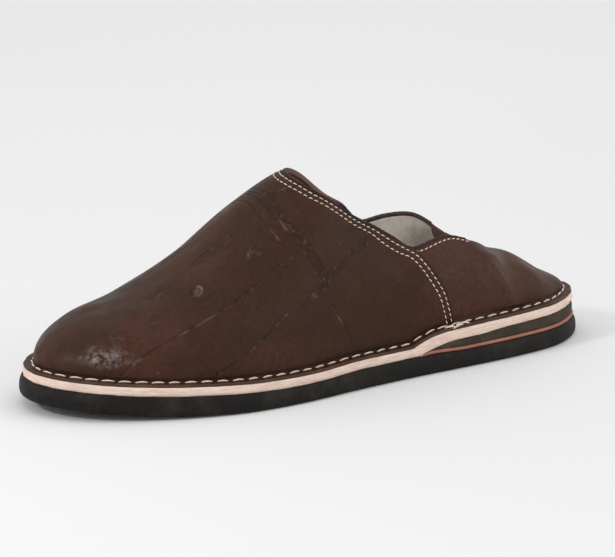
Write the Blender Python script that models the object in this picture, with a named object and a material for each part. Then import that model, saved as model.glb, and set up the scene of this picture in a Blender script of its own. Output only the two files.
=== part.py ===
"""A babouche slipper for the left foot, standing empty on its sole.

The toe points along -Y, the outer side of the foot is +X and the floor is z = 0.
Lengths are in metres. The upper is one thin wall that turns outwards at its foot
into a flange, and the flange lies on the midsole.
"""

import bmesh
import bpy
import numpy as np

# The sole seen from above
SOLE_LENGTH = 0.300
BALL_WIDTH = 0.110
TOE_TIP = -0.008
OUTSOLE_BULGE = 0.0020
EDGE_ROUND = 0.0022

# The layers under the foot
OUTSOLE_TOE = 0.0090
OUTSOLE_WAIST = 0.0083
OUTSOLE_HEEL = 0.0090
RAND_THICKNESS = 0.0014
WEDGE_THICKNESS = 0.0044
WEDGE_SLOPE = 0.0045
WEDGE_FRONT = 0.43
WEDGE_FULL = 0.31
MIDSOLE_THICKNESS = 0.0037
INSOLE_THICKNESS = 0.0022
SEAT_GAP = 0.0003

# The toe spring lifts the sole in front of this share of its length
TOE_SPRING = 0.0054
SPRING_START = 0.62

# Lugs under the outsole
GROOVE_DEPTH = 0.0025
GROOVE_WIDTH = 0.0040
GROOVE_RIM = 0.0060
LUG_PITCH = 0.0125
FOREFOOT_LUGS = (0.560, 0.960)
HEEL_LUGS = (0.035, 0.260)

# The upper
INSTEP_RISE = 0.085
WALL = 0.0020
LAP = 0.0012
FLANGE_THICKNESS = 0.0015
FLANGE_MARGIN = 0.0004
CREASE_INSET = 0.0058
INSOLE_MARGIN = 0.0060
BINDING_HEIGHT = 0.0026
BINDING_COVER = 0.0006

# Resolution
SOLE_POINTS = 88
UPPER_COLUMNS = 84
WALL_ROWS = 13
ROW_CROWDING = 1.25
BINDING_SIDES = 8
VAMP_BINDING_RINGS = 56
QUARTER_BINDING_RINGS = 32

# Half widths of the sole as shares of the ball width, from heel to toe
SOLE_OUTLINE = (
    # along, outer, inner
    (0.030, 0.164, 0.182),
    (0.090, 0.277, 0.282),
    (0.180, 0.336, 0.327),
    (0.290, 0.368, 0.327),
    (0.400, 0.395, 0.309),
    (0.510, 0.436, 0.341),
    (0.620, 0.486, 0.414),
    (0.720, 0.496, 0.468),
    (0.810, 0.445, 0.464),
    (0.890, 0.359, 0.400),
    (0.950, 0.250, 0.286),
    (0.985, 0.134, 0.160),
)

# The ridge of the upper as if it had no opening: height as a share of the
# instep rise, fullness of the arch (2 is an ellipse) and lean to the inner side
RIDGE = (
    # along, height, fullness, lean
    (0.04, 0.070, 2.10, 0.000),
    (0.10, 0.235, 2.10, 0.000),
    (0.17, 0.340, 2.10, 0.000),
    (0.25, 0.670, 2.10, 0.001),
    (0.35, 0.780, 2.05, 0.002),
    (0.44, 0.850, 2.00, 0.003),
    (0.52, 0.985, 2.00, 0.004),
    (0.62, 0.835, 2.00, 0.004),
    (0.72, 0.575, 2.05, 0.003),
    (0.82, 0.372, 2.10, 0.003),
    (0.90, 0.280, 2.15, 0.002),
    (0.96, 0.185, 2.20, 0.001),
)

# Each row joins a turn round the sole, counted from the heel over the outer
# side, to the place on the collar above it. Roll is 0 at the outer crease,
# 90 on the ridge and 180 at the inner crease.
COLLAR = (
    # turn, along, roll
    (0, 0.165, 90),
    (18, 0.180, 62),
    (34, 0.225, 43),
    (50, 0.285, 40),
    (66, 0.357, 37),
    (78, 0.392, 45),
    (92, 0.430, 52),
    (110, 0.482, 56),
    (128, 0.522, 62),
    (150, 0.546, 73),
    (180, 0.551, 90),
    (210, 0.526, 101.5),
    (232, 0.487, 108),
    (250, 0.445, 115),
    (268, 0.406, 123.5),
    (282, 0.377, 132.5),
    (294, 0.352, 139),
    (310, 0.293, 138),
    (326, 0.235, 132),
    (342, 0.188, 121),
)
OUTER_LAP = 66
INNER_LAP = 294
LAP_STEP = 0.6


def clear_scene():
    for obj in list(bpy.data.objects):
        bpy.data.objects.remove(obj, do_unlink=True)


def material(name, colour, roughness):
    made = bpy.data.materials.new(name)
    made.use_nodes = True
    shader = made.node_tree.nodes["Principled BSDF"]
    shader.inputs["Base Color"].default_value = (*colour, 1.0)
    shader.inputs["Roughness"].default_value = roughness
    shader.inputs["Metallic"].default_value = 0.0
    return made


def curve_through(knots, values, at):
    """A smooth curve through the values, with slopes taken from their neighbours."""
    knots = np.asarray(knots, float)
    values = np.asarray(values, float)
    steps = np.diff(knots)
    rises = np.diff(values) / steps
    slopes = np.empty_like(values)
    weighted = rises[:-1] * steps[1:] + rises[1:] * steps[:-1]
    slopes[1:-1] = weighted / (steps[1:] + steps[:-1])
    slopes[0] = rises[0]
    slopes[-1] = rises[-1]
    cell = np.clip(np.searchsorted(knots, at) - 1, 0, len(steps) - 1)
    step = steps[cell]
    s = (at - knots[cell]) / step
    start = values[cell] * (1 + 2 * s) * (1 - s) ** 2
    end = values[cell + 1] * s * s * (3 - 2 * s)
    leave = slopes[cell] * step * s * (1 - s) ** 2
    arrive = slopes[cell + 1] * step * s * s * (s - 1)
    return start + end + leave + arrive


def closed_curve(knots, values, at, period):
    """The same curve where the last value is followed by the first."""
    knots = np.asarray(knots, float)
    values = np.asarray(values, float)
    longer = np.concatenate([knots[-2:] - period, knots, knots[:2] + period])
    return curve_through(longer, np.concatenate([values[-2:], values, values[:2]]), at)


def ease(start, end, value):
    """0 up to start, 1 from end on, and smooth between."""
    share = np.clip((value - start) / (end - start), 0.0, 1.0)
    return share * share * (3.0 - 2.0 * share)


def turn_of(along):
    """Turn in radians of a share of the length, so that round ends stay round."""
    return np.arccos(1.0 - 2.0 * np.asarray(along, float))


def unit(vectors):
    return vectors / np.linalg.norm(vectors, axis=-1, keepdims=True)


def outline(turns, outset=0.0):
    """Points of the sole's edge seen from above, moved out by outset."""
    rows = np.array(SOLE_OUTLINE)
    outer_turns = turn_of(rows[:, 0])
    knots = np.concatenate([[0.0], outer_turns, [np.pi], 2 * np.pi - outer_turns[::-1]])
    shares = np.concatenate([[0.0], rows[:, 1], [TOE_TIP], -rows[::-1, 2]])

    def edge(at):
        x = closed_curve(knots, shares * BALL_WIDTH, np.mod(at, 2 * np.pi), 2 * np.pi)
        return np.column_stack([x, SOLE_LENGTH / 2 * np.cos(at)])

    tangent = unit(edge(turns + 0.01) - edge(turns - 0.01))
    outward = np.column_stack([-tangent[:, 1], tangent[:, 0]])
    return edge(turns) + outward * outset


def side_shift():
    """Sideways move that puts the widest points evenly about x = 0."""
    across = outline(np.linspace(0, 2 * np.pi, 721))[:, 0]
    return -(across.max() + across.min()) / 2


SIDE_SHIFT = side_shift()


def along_of(y):
    return 0.5 - y / SOLE_LENGTH


def sole_bottom(y):
    reach = np.clip((along_of(y) - SPRING_START) / (1 - SPRING_START), 0.0, None)
    return TOE_SPRING * reach**2


def outsole_top(y):
    along = along_of(y)
    waist = OUTSOLE_HEEL + (OUTSOLE_WAIST - OUTSOLE_HEEL) * ease(0.15, 0.45, along)
    front = (OUTSOLE_TOE - OUTSOLE_WAIST) * ease(0.60, 0.80, along)
    return sole_bottom(y) + waist + front


def heel_lift(y):
    """Room between the outsole and the midsole for the rand and the wedge."""
    along = along_of(y)
    full = RAND_THICKNESS + WEDGE_THICKNESS + 2 * SEAT_GAP
    sloped = full + WEDGE_SLOPE * (WEDGE_FULL - along)
    return sloped * (1 - ease(WEDGE_FULL, WEDGE_FRONT, along))


def midsole_bottom(y):
    return outsole_top(y) + SEAT_GAP + heel_lift(y)


def midsole_top(y):
    return midsole_bottom(y) + MIDSOLE_THICKNESS


def flange_bottom(y):
    return midsole_top(y) + SEAT_GAP


def flange_top(y):
    return flange_bottom(y) + FLANGE_THICKNESS


def placed(points):
    """Lists of x, y, z moved so that the whole slipper is centred on x = 0."""
    return points + np.array([SIDE_SHIFT, 0.0, 0.0])


def mesh_object(name, points, faces, made_of):
    mesh = bpy.data.meshes.new(name)
    mesh.from_pydata([tuple(p) for p in placed(points)], [], faces)
    shell = bmesh.new()
    shell.from_mesh(mesh)
    bmesh.ops.recalc_face_normals(shell, faces=shell.faces)
    shell.to_mesh(mesh)
    shell.free()
    mesh.materials.append(made_of)
    mesh.shade_smooth()
    mesh.set_sharp_from_angle(angle=np.radians(40))
    obj = bpy.data.objects.new(name, mesh)
    bpy.context.scene.collection.objects.link(obj)
    return obj


def bridge(count, lower, upper):
    """Quads between two closed rings of the same count, given their first indices."""
    after = [(i + 1) % count for i in range(count)]
    return [(lower + i, lower + after[i], upper + after[i], upper + i) for i in range(count)]


def rungs(count, first):
    """Faces across a ring, from its outer side to its inner side."""
    half = count // 2
    faces = [(first, first + 1, first + count - 1)]
    for i in range(1, half - 1):
        faces.append((first + i, first + i + 1, first + count - i - 1, first + count - i))
    faces.append((first + half - 1, first + half, first + half + 1))
    return faces


def stack_of_rings(name, rings, made_of):
    """A solid whose side runs through the rings, from the lowest to the highest."""
    count = len(rings[0])
    faces = rungs(count, 0) + rungs(count, count * (len(rings) - 1))
    for level in range(len(rings) - 1):
        faces += bridge(count, count * level, count * (level + 1))
    return mesh_object(name, np.concatenate(rings), faces, made_of)


def flat_ring(turns, outset, height):
    """The sole's edge moved out by outset, at the height that a function of y gives."""
    edge = outline(turns, outset)
    return np.column_stack([edge, height(edge[:, 1])])


def sole_turns():
    return np.arange(SOLE_POINTS) * 2 * np.pi / SOLE_POINTS


def outsole_body(made_of):
    """Outsole with a bulging side and a rounded lower edge."""

    def level(share):
        return lambda y: sole_bottom(y) + share * (outsole_top(y) - sole_bottom(y))

    side = (
        # outset, share of the height
        (OUTSOLE_BULGE - EDGE_ROUND, 0.0),
        (OUTSOLE_BULGE - 0.3 * EDGE_ROUND, 0.08),
        (OUTSOLE_BULGE, 0.25),
        (OUTSOLE_BULGE, 0.55),
        (0.6 * OUTSOLE_BULGE, 0.86),
        (0.3 * OUTSOLE_BULGE, 1.0),
    )
    rings = [flat_ring(sole_turns(), outset, level(share)) for outset, share in side]
    return stack_of_rings("outsole", rings, made_of)


def rim_reach(y):
    """The inner and outer x where a groove stops short of the sole's edge."""
    loop = outline(np.linspace(0, 2 * np.pi, 721), -GROOVE_RIM)
    outer, inner = loop[:361], loop[:359:-1]
    across = y + GROOVE_WIDTH * np.array([-0.5, 0.0, 0.5])
    outer_reach = np.interp(-across, -outer[:, 1], outer[:, 0]).min()
    inner_reach = np.interp(-across, -inner[:, 1], inner[:, 0]).max()
    return inner_reach, outer_reach


def groove_places():
    """Distances along Y of the grooves between the lugs, where the sole is wide enough."""
    places = []
    for start, end in (HEEL_LUGS, FOREFOOT_LUGS):
        count = int((end - start) * SOLE_LENGTH / LUG_PITCH)
        first = (0.5 - start) * SOLE_LENGTH
        places += [first - LUG_PITCH * step for step in range(count + 1)]
    reaches = [rim_reach(y) for y in places]
    return [y for y, (inner, outer) in zip(places, reaches) if outer - inner > 2 * GROOVE_WIDTH]


def groove_cutter(index, y):
    """One bar that follows the underside, inside the rim."""
    corners = []
    for x in rim_reach(y):
        for side in (-1, 1):
            edge = y + side * GROOVE_WIDTH / 2
            base = sole_bottom(edge)
            corners += [(x, edge, base - 0.01), (x, edge - side * 0.0004, base + GROOVE_DEPTH)]
    faces = [(0, 1, 3, 2), (4, 5, 7, 6), (0, 1, 5, 4), (2, 3, 7, 6), (1, 3, 7, 5), (0, 2, 6, 4)]
    cutter = mesh_object(f"groove_{index}", np.array(corners), faces, None)
    cutter.hide_render = True
    cutter.display_type = "WIRE"
    return cutter


def add_outsole(made_of):
    outsole = outsole_body(made_of)
    grooves = bpy.data.collections.new("grooves")
    bpy.context.scene.collection.children.link(grooves)
    for index, y in enumerate(groove_places()):
        cutter = groove_cutter(index, y)
        bpy.context.scene.collection.objects.unlink(cutter)
        grooves.objects.link(cutter)
    cut = outsole.modifiers.new("Lugs", "BOOLEAN")
    cut.operation = "DIFFERENCE"
    cut.operand_type = "COLLECTION"
    cut.collection = grooves
    return outsole


def slice_turns(front):
    """Turns round the heel end of the sole, and the share where it is cut off."""
    half = SOLE_POINTS // 2
    reach = turn_of(front)
    return np.concatenate([np.linspace(0, reach, half // 2), np.linspace(-reach, 0, half // 2)[:-1]])


def heel_layer(name, front, bottom, top, outset, made_of):
    """A layer that runs from the heel to a straight front edge."""
    turns = slice_turns(front)
    count = len(turns)
    rings = [flat_ring(turns, outset, bottom), flat_ring(turns, outset, top)]
    faces = bridge(count, 0, count) + heel_rungs(count, 0) + heel_rungs(count, count)
    return mesh_object(name, np.concatenate(rings), faces, made_of)


def heel_rungs(count, first):
    """Faces across a ring that starts at the heel and is cut straight in front."""
    half = count // 2
    faces = [(first, first + 1, first + count - 1)]
    for i in range(1, half):
        faces.append((first + i, first + i + 1, first + count - i - 1, first + count - i))
    return faces


def along_where(height, least):
    """How far forward a layer of this height function stays thicker than least."""
    places = np.linspace(WEDGE_FULL, WEDGE_FRONT, 400)
    thick = height((0.5 - places) * SOLE_LENGTH) > least
    return places[thick][-1]


def rand_room(y):
    return heel_lift(y) - SEAT_GAP


def wedge_room(y):
    return heel_lift(y) - RAND_THICKNESS - 2 * SEAT_GAP


def rand_bottom(y):
    return outsole_top(y) + SEAT_GAP


def rand_top(y):
    return rand_bottom(y) + np.minimum(RAND_THICKNESS, rand_room(y))


def wedge_bottom(y):
    return rand_bottom(y) + RAND_THICKNESS + SEAT_GAP


def wedge_top(y):
    return midsole_bottom(y) - SEAT_GAP


def add_heel_layers(rand_material, wedge_material):
    rand_front = along_where(rand_room, 0.4 * RAND_THICKNESS)
    wedge_front = along_where(wedge_room, 0.1 * WEDGE_THICKNESS)
    heel_layer("rand_line", rand_front, rand_bottom, rand_top, 0.0004, rand_material)
    heel_layer("heel_wedge", wedge_front, wedge_bottom, wedge_top, 0.0, wedge_material)


def add_midsole(made_of):
    rings = [flat_ring(sole_turns(), 0.0, midsole_bottom), flat_ring(sole_turns(), 0.0, midsole_top)]
    return stack_of_rings("midsole", rings, made_of)


def insole_top(y):
    return flange_bottom(y) + INSOLE_THICKNESS


def add_insole(made_of):
    inset = CREASE_INSET + WALL + INSOLE_MARGIN
    rings = [flat_ring(sole_turns(), -inset, height) for height in (flange_bottom, insole_top)]
    return stack_of_rings("insole", rings, made_of)


def crease_sides():
    """The crease as seen from above: its ends and its x on either side of each turn."""
    loop = outline(np.linspace(0, 2 * np.pi, 721), -CREASE_INSET)
    outer, inner = loop[:361], loop[:359:-1]
    middle = (outer[0, 1] + outer[-1, 1]) / 2
    half = (outer[0, 1] - outer[-1, 1]) / 2
    return outer, inner, middle, half


CREASE_OUTER, CREASE_INNER, CREASE_MIDDLE, CREASE_HALF = crease_sides()


def crease_turn(y):
    return np.arccos(np.clip((y - CREASE_MIDDLE) / CREASE_HALF, -1.0, 1.0))


def ridge_column(column, turns):
    rows = np.array(RIDGE)
    ends = (0.0, 0.0) if column in (1, 3) else (rows[0, column], rows[-1, column])
    knots = np.concatenate([[0.0], turn_of(rows[:, 0]), [np.pi]])
    return curve_through(knots, np.concatenate([[ends[0]], rows[:, column], [ends[1]]]), turns)


def upper_surface(directions):
    """The outside of the upper, for directions on a half globe with its poles at heel and toe."""
    turns = np.arccos(np.clip(directions[..., 1], -1.0, 1.0))
    across = np.clip(directions[..., 0] / np.maximum(np.sin(turns), 1e-9), -1.0, 1.0)
    up = np.sqrt(1.0 - across**2)
    outer = np.interp(turns, crease_turn(CREASE_OUTER[:, 1]), CREASE_OUTER[:, 0])
    inner = np.interp(turns, crease_turn(CREASE_INNER[:, 1]), CREASE_INNER[:, 0])
    power = 2.0 / ridge_column(2, turns)
    reach = np.sign(across) * np.abs(across) ** power
    lift = up**power
    y = CREASE_MIDDLE + CREASE_HALF * np.cos(turns)
    x = (outer + inner) / 2 + (outer - inner) / 2 * reach - ridge_column(3, turns) * lift**2
    z = flange_top(y) + INSTEP_RISE * ridge_column(1, turns) * lift
    return np.stack([x, y, z], axis=-1)


def column_turns():
    """Turns of the upper's columns, with a close pair on each side of a lap edge."""
    step = 360 / UPPER_COLUMNS
    turns = [step * i for i in range(UPPER_COLUMNS)]
    laps = [OUTER_LAP, OUTER_LAP + LAP_STEP, INNER_LAP - LAP_STEP, INNER_LAP]
    kept = [t for t in turns if min(abs(t - lap) for lap in laps) > 0.4 * step]
    return np.array(sorted(kept + laps))


def collar_directions(turns):
    rows = np.array(COLLAR, float)
    along = turn_of(rows[:, 1])
    roll = np.radians(rows[:, 2])
    places = np.column_stack([np.sin(along) * np.cos(roll), np.cos(along), np.sin(along) * np.sin(roll)])
    smooth = [closed_curve(rows[:, 0], places[:, axis], turns, 360) for axis in range(3)]
    return unit(np.column_stack(smooth))


def foot_directions(turns):
    """Directions of the crease points that lie straight in from the sole's edge."""
    crease = outline(np.radians(turns), -CREASE_INSET)
    turned = crease_turn(crease[:, 1])
    side = np.where(turns <= 180, 1.0, -1.0)
    return np.column_stack([side * np.sin(turned), np.cos(turned), 0 * turned])


def between(start, end, share):
    """Directions part of the way from start to end along the globe."""
    angle = np.arccos(np.clip((start * end).sum(axis=1), -1.0, 1.0))[:, None]
    return (np.sin((1 - share) * angle) * start + np.sin(share * angle) * end) / np.sin(angle)


def wall_grid(turns, shares):
    """Points of the outside of the wall and its outward normals, columns by rows."""
    foot = foot_directions(turns)
    top = collar_directions(turns)
    grid = np.stack([upper_surface(between(foot, top, share)) for share in shares], axis=1)
    round_it = np.roll(grid, -1, axis=0) - np.roll(grid, 1, axis=0)
    up_it = np.gradient(grid, axis=1)
    return grid, unit(np.cross(up_it, round_it)), unit(up_it)


def row_shares():
    """Shares of the way from the crease to the collar, closer together near the crease."""
    return np.linspace(0.0, 1.0, WALL_ROWS + 1) ** ROW_CROWDING


def is_vamp(turns):
    return (turns >= OUTER_LAP + LAP_STEP) & (turns <= INNER_LAP - LAP_STEP)


def add_upper(made_of):
    """Vamp and quarter as one hollow wall with a turned-out flange."""
    turns = column_turns()
    grid, normals, _ = wall_grid(turns, row_shares())
    outward = np.where(is_vamp(turns), LAP, 0.0)[:, None, None]
    outside = grid + normals * outward
    outside[:, 0, 2] = grid[:, 0, 2]
    inside = grid - normals * WALL
    radians = np.radians(turns)
    rings = [flat_ring(radians, -FLANGE_MARGIN, flange_bottom), flat_ring(radians, -FLANGE_MARGIN, flange_top)]
    rings += [outside[:, row] for row in range(WALL_ROWS + 1)]
    rings += [inside[:, row] for row in range(WALL_ROWS, 0, -1)]
    rings += [flat_ring(radians, -CREASE_INSET - WALL, flange_bottom)]
    count = len(turns)
    faces = []
    for level in range(len(rings)):
        faces += bridge(count, count * level, count * ((level + 1) % len(rings)))
    return mesh_object("upper", np.concatenate(rings), faces, made_of)


def binding(name, turns, thickness, lap, made_of):
    """A rolled edge that sits on the collar between two turns."""
    grid, normals, up = wall_grid(turns, row_shares())
    edge, out, rise = grid[:, -1], normals[:, -1], up[:, -1]
    middle = edge + out * (lap - WALL) / 2 + rise * (SEAT_GAP + BINDING_HEIGHT / 2)
    half_thick = thickness / 2 + BINDING_COVER
    rings = []
    for side in range(BINDING_SIDES):
        angle = 2 * np.pi * (side + 0.5) / BINDING_SIDES
        rings.append(middle + out * half_thick * np.cos(angle) + rise * BINDING_HEIGHT / 2 * np.sin(angle))
    points = np.stack(rings, axis=1)[1:-1]
    faces = []
    for i in range(len(points) - 1):
        faces += bridge(BINDING_SIDES, BINDING_SIDES * i, BINDING_SIDES * (i + 1))
    last = BINDING_SIDES * (len(points) - 1)
    faces += [tuple(range(BINDING_SIDES)), tuple(range(last, last + BINDING_SIDES))]
    return mesh_object(name, points.reshape(-1, 3), faces, made_of)


def add_bindings(made_of):
    vamp = np.linspace(OUTER_LAP, INNER_LAP, VAMP_BINDING_RINGS)
    quarter = np.mod(np.linspace(INNER_LAP - 360, OUTER_LAP, QUARTER_BINDING_RINGS), 360)
    binding("vamp_binding", vamp, WALL + LAP, LAP, made_of)
    binding("quarter_binding", quarter, WALL, 0.0, made_of)


def main():
    clear_scene()
    add_outsole(material("black_rubber", (0.016, 0.016, 0.014), 0.6))
    add_heel_layers(
        material("terracotta_line", (0.50, 0.13, 0.07), 0.6),
        material("charcoal_wedge", (0.035, 0.035, 0.038), 0.7),
    )
    add_midsole(material("natural_leather", (0.80, 0.62, 0.52), 0.75))
    leather = material("brown_leather", (0.060, 0.030, 0.022), 0.45)
    add_upper(leather)
    add_bindings(material("binding_leather", (0.035, 0.018, 0.014), 0.5))
    add_insole(material("sock_leather", (0.22, 0.20, 0.17), 0.8))


main()
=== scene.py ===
"""A babouche slipper for the left foot, dressed in leather, thread, suede and rubber.

Lengths are in metres. The toe points along -Y, the outer side of the foot is +X and the
floor is z = 0. The first functions give the shoe's shape in the sizes of its solids, so
every piece of leather, rubber and thread lies where the shoe is.
"""

import bmesh
import bpy
import numpy as np
from mathutils import Matrix, Vector


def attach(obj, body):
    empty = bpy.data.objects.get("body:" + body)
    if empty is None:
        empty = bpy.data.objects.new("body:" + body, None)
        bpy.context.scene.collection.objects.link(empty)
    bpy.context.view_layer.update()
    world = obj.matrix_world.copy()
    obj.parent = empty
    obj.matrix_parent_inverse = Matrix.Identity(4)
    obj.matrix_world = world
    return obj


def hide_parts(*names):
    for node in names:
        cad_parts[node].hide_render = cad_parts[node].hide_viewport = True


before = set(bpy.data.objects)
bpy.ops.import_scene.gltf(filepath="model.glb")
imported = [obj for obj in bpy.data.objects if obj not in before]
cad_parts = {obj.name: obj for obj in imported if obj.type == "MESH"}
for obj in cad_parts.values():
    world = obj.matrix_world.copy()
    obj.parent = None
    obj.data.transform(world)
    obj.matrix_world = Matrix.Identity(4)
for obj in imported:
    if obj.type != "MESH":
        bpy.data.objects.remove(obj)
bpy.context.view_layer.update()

# The sole seen from above
SOLE_LENGTH = 0.300
BALL_WIDTH = 0.110
TOE_TIP = -0.008
OUTSOLE_BULGE = 0.0020
EDGE_ROUND = 0.0022

# The layers under the foot
OUTSOLE_TOE = 0.0090
OUTSOLE_WAIST = 0.0083
OUTSOLE_HEEL = 0.0090
RAND_THICKNESS = 0.0014
WEDGE_THICKNESS = 0.0044
WEDGE_SLOPE = 0.0045
WEDGE_FRONT = 0.43
WEDGE_FULL = 0.31
WEDGE_NOSE = 0.377
RAND_NOSE = 0.379
NOSE_LENGTH = 0.095
NOSE_DROP = 0.0009
STEP_FRONT = 0.392
STEP_FULL = 0.250
WAIST_SWELL = 0.0011
MIDSOLE_THICKNESS = 0.0037
INSOLE_THICKNESS = 0.0022
SEAT_GAP = 0.0003
HAIRLINE = 0.00005
TOE_SPRING = 0.0054
SPRING_START = 0.62

# Lugs under the outsole
GROOVE_DEPTH = 0.0025
GROOVE_WIDTH = 0.0040
GROOVE_RIM = 0.0060
LUG_PITCH = 0.0125
FOREFOOT_LUGS = (0.560, 0.960)
HEEL_LUGS = (0.035, 0.260)
TOE_NOTCHES = (0.860, 0.955)
NOTCH_REACH = 0.0040
NOTCH_WIDTH = 0.0022
NOTCH_DEPTH = 0.0012

# The upper
INSTEP_RISE = 0.085
WALL = 0.0020
LAP = 0.0012
FLANGE_THICKNESS = 0.0015
FLANGE_MARGIN = 0.0004
CREASE_INSET = 0.0058
BEAD_HEIGHT = 0.0020
TURNED_EDGE = 0.0013
TUCK_DEPTH = 0.0150
TUCK_RADIUS = 0.0034
TUCK_TURN = 2.8
LAP_ROUND = 0.0010
FOOT_FILLET = 0.0016
RIM_DEPTH = 0.0019
FACING_DEPTH = 0.0120
FACING_ROW = 0.0060
WALL_PRESS = 0.00018
FLANGE_PRESS = 0.00022
INNER_SOFTNESS = 0.6
RIPPLE = 0.00016

# The wall's rows begin at this share of its height, which the map of edges counts as so many metres
WALL_START = 0.030
WALL_SPAN = 0.06

# Stitching
WELT_INSET = 0.0043
WELT_PITCH = 0.0077
WELT_STITCH = 0.0066
ROW_PITCH = 0.0029
ROW_STITCH = 0.0021
FIRST_ROW = 0.0021
SECOND_ROW = 0.0049
QUARTER_ROW = 0.0029
THREAD_LIFT = 0.00005
WELT_LIFT = 0.00002
LOOSE_LIFT = 0.0003
WELT_LEAN = 1.6

# Sizes of the threads, in the inputs of the stitch tree
FINE_THREAD = {"Pitch": ROW_PITCH, "Length": ROW_STITCH, "Radius": 0.00026, "Rise": 0.00065, "Slant": 0.10}
WELT_THREAD = {"Pitch": WELT_PITCH, "Length": WELT_STITCH, "Radius": 0.00044, "Rise": 0.0010, "Slant": 0.06}
LOOSE_THREAD = {"Pitch": 0.02, "Radius": 0.00050, "Rise": 0.0013}

# Where the welt thread was finished off, beside the lap
THREAD_ENDS = (
    # turn, inset, slant, length
    (64.4, 0.0018, -0.35, 0.0056),
    (66.6, 0.0002, 0.22, 0.0066),
    (68.4, 0.0010, -0.16, 0.0060),
    (66.0, 0.0026, 0.60, 0.0040),
)

# Waves of edges that were cut or folded by hand
FLANGE_WAVES = (
    # height, waves round the sole, phase
    (0.00012, 23, 0.0),
    (0.00010, 41, 1.0),
    (0.00008, 97, 0.0),
)
MIDSOLE_WAVES = (
    # height, waves round the sole, phase
    (0.00010, 31, 0.0),
    (0.00008, 67, 0.7),
    (0.00006, 149, 0.0),
)
BEAD_WAVES = (
    # height, radians per degree of turn, phase
    (0.00012, 1.9, 0.0),
    (0.00008, 4.3, 1.0),
)

# Resolution
FINE_ROUND = 720
SOLE_POINTS = 400
HEEL_POINTS = 120
BEAD_SIDES = 14
THREAD_SIDES = 7
THREAD_STEPS = 7
UPPER_STEP = 0.6
OUTER_ROWS = 64
INNER_ROWS = 28
FACING_ROWS = 5
TURN_STEP = 0.4
SHARE_STEP = 0.01

# Slots of the upper's finishes
VAMP, QUARTER, LINING, FACING, TURNED, CUT = range(6)

# Half widths of the sole as shares of the ball width, from heel to toe
SOLE_OUTLINE = (
    # along, outer, inner
    (0.030, 0.164, 0.182),
    (0.090, 0.277, 0.282),
    (0.180, 0.336, 0.327),
    (0.290, 0.368, 0.327),
    (0.400, 0.395, 0.309),
    (0.510, 0.436, 0.341),
    (0.620, 0.486, 0.414),
    (0.720, 0.496, 0.468),
    (0.810, 0.445, 0.464),
    (0.890, 0.359, 0.400),
    (0.950, 0.250, 0.286),
    (0.985, 0.134, 0.160),
)

# The ridge of the upper: height as a share of the instep rise, fullness of
# the arch (2 is an ellipse) and lean to the inner side
RIDGE = (
    # along, height, fullness, lean
    (0.04, 0.098, 2.10, 0.000),
    (0.10, 0.237, 2.10, 0.000),
    (0.17, 0.340, 2.10, 0.000),
    (0.25, 0.670, 2.10, 0.001),
    (0.35, 0.780, 2.05, 0.002),
    (0.44, 0.850, 2.00, 0.003),
    (0.52, 0.985, 2.00, 0.004),
    (0.62, 0.835, 2.00, 0.004),
    (0.72, 0.575, 2.05, 0.003),
    (0.82, 0.372, 2.10, 0.003),
    (0.90, 0.280, 2.15, 0.002),
    (0.96, 0.185, 2.20, 0.001),
)

# The collar over each turn round the sole, counted from the heel over the
# outer side. Roll is 0 at the outer crease, 90 on the ridge and 180 inside.
COLLAR = (
    # turn, along, roll
    (0, 0.165, 90),
    (18, 0.180, 62),
    (34, 0.225, 43),
    (50, 0.285, 40),
    (66, 0.357, 37),
    (78, 0.392, 45),
    (92, 0.430, 52),
    (110, 0.482, 56),
    (128, 0.522, 62),
    (150, 0.546, 73),
    (180, 0.551, 90),
    (210, 0.524, 103),
    (232, 0.485, 109.5),
    (250, 0.444, 116),
    (268, 0.406, 123.5),
    (282, 0.377, 132.5),
    (294, 0.352, 139),
    (310, 0.293, 138),
    (326, 0.235, 132),
    (342, 0.188, 121),
)
OUTER_LAP = 66
INNER_LAP = 294

# Soft forms of the leather: ridges stand proud and troughs lie low
SOFT_FORMS = (
    # from along, roll, to along, roll, half width, height
    (0.44, 62, 0.54, 20, 0.0090, 0.0007),
    (0.47, 50, 0.56, 12, 0.0060, -0.0006),
    (0.60, 78, 0.72, 66, 0.0100, -0.0005),
    (0.66, 30, 0.80, 22, 0.0080, 0.0006),
    (0.74, 48, 0.88, 40, 0.0090, -0.0006),
    (0.88, 62, 0.93, 30, 0.0060, 0.0006),
    (0.91, 20, 0.95, 60, 0.0045, -0.0005),
    (0.10, 34, 0.24, 14, 0.0060, 0.0009),
    (0.14, 46, 0.29, 22, 0.0050, -0.0004),
    (0.20, 33, 0.33, 12, 0.0055, 0.0009),
    (0.186, 72, 0.184, 22, 0.0085, 0.0022),
    (0.02, 30, 0.02, 90, 0.0100, 0.0016),
    (0.05, 60, 0.16, 64, 0.0050, -0.0003),
    (0.44, 118, 0.55, 160, 0.0090, 0.0007),
    (0.70, 120, 0.84, 140, 0.0090, -0.0006),
    (0.08, 130, 0.24, 160, 0.0060, 0.0008),
    (0.14, 118, 0.30, 150, 0.0055, -0.0008),
)

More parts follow.
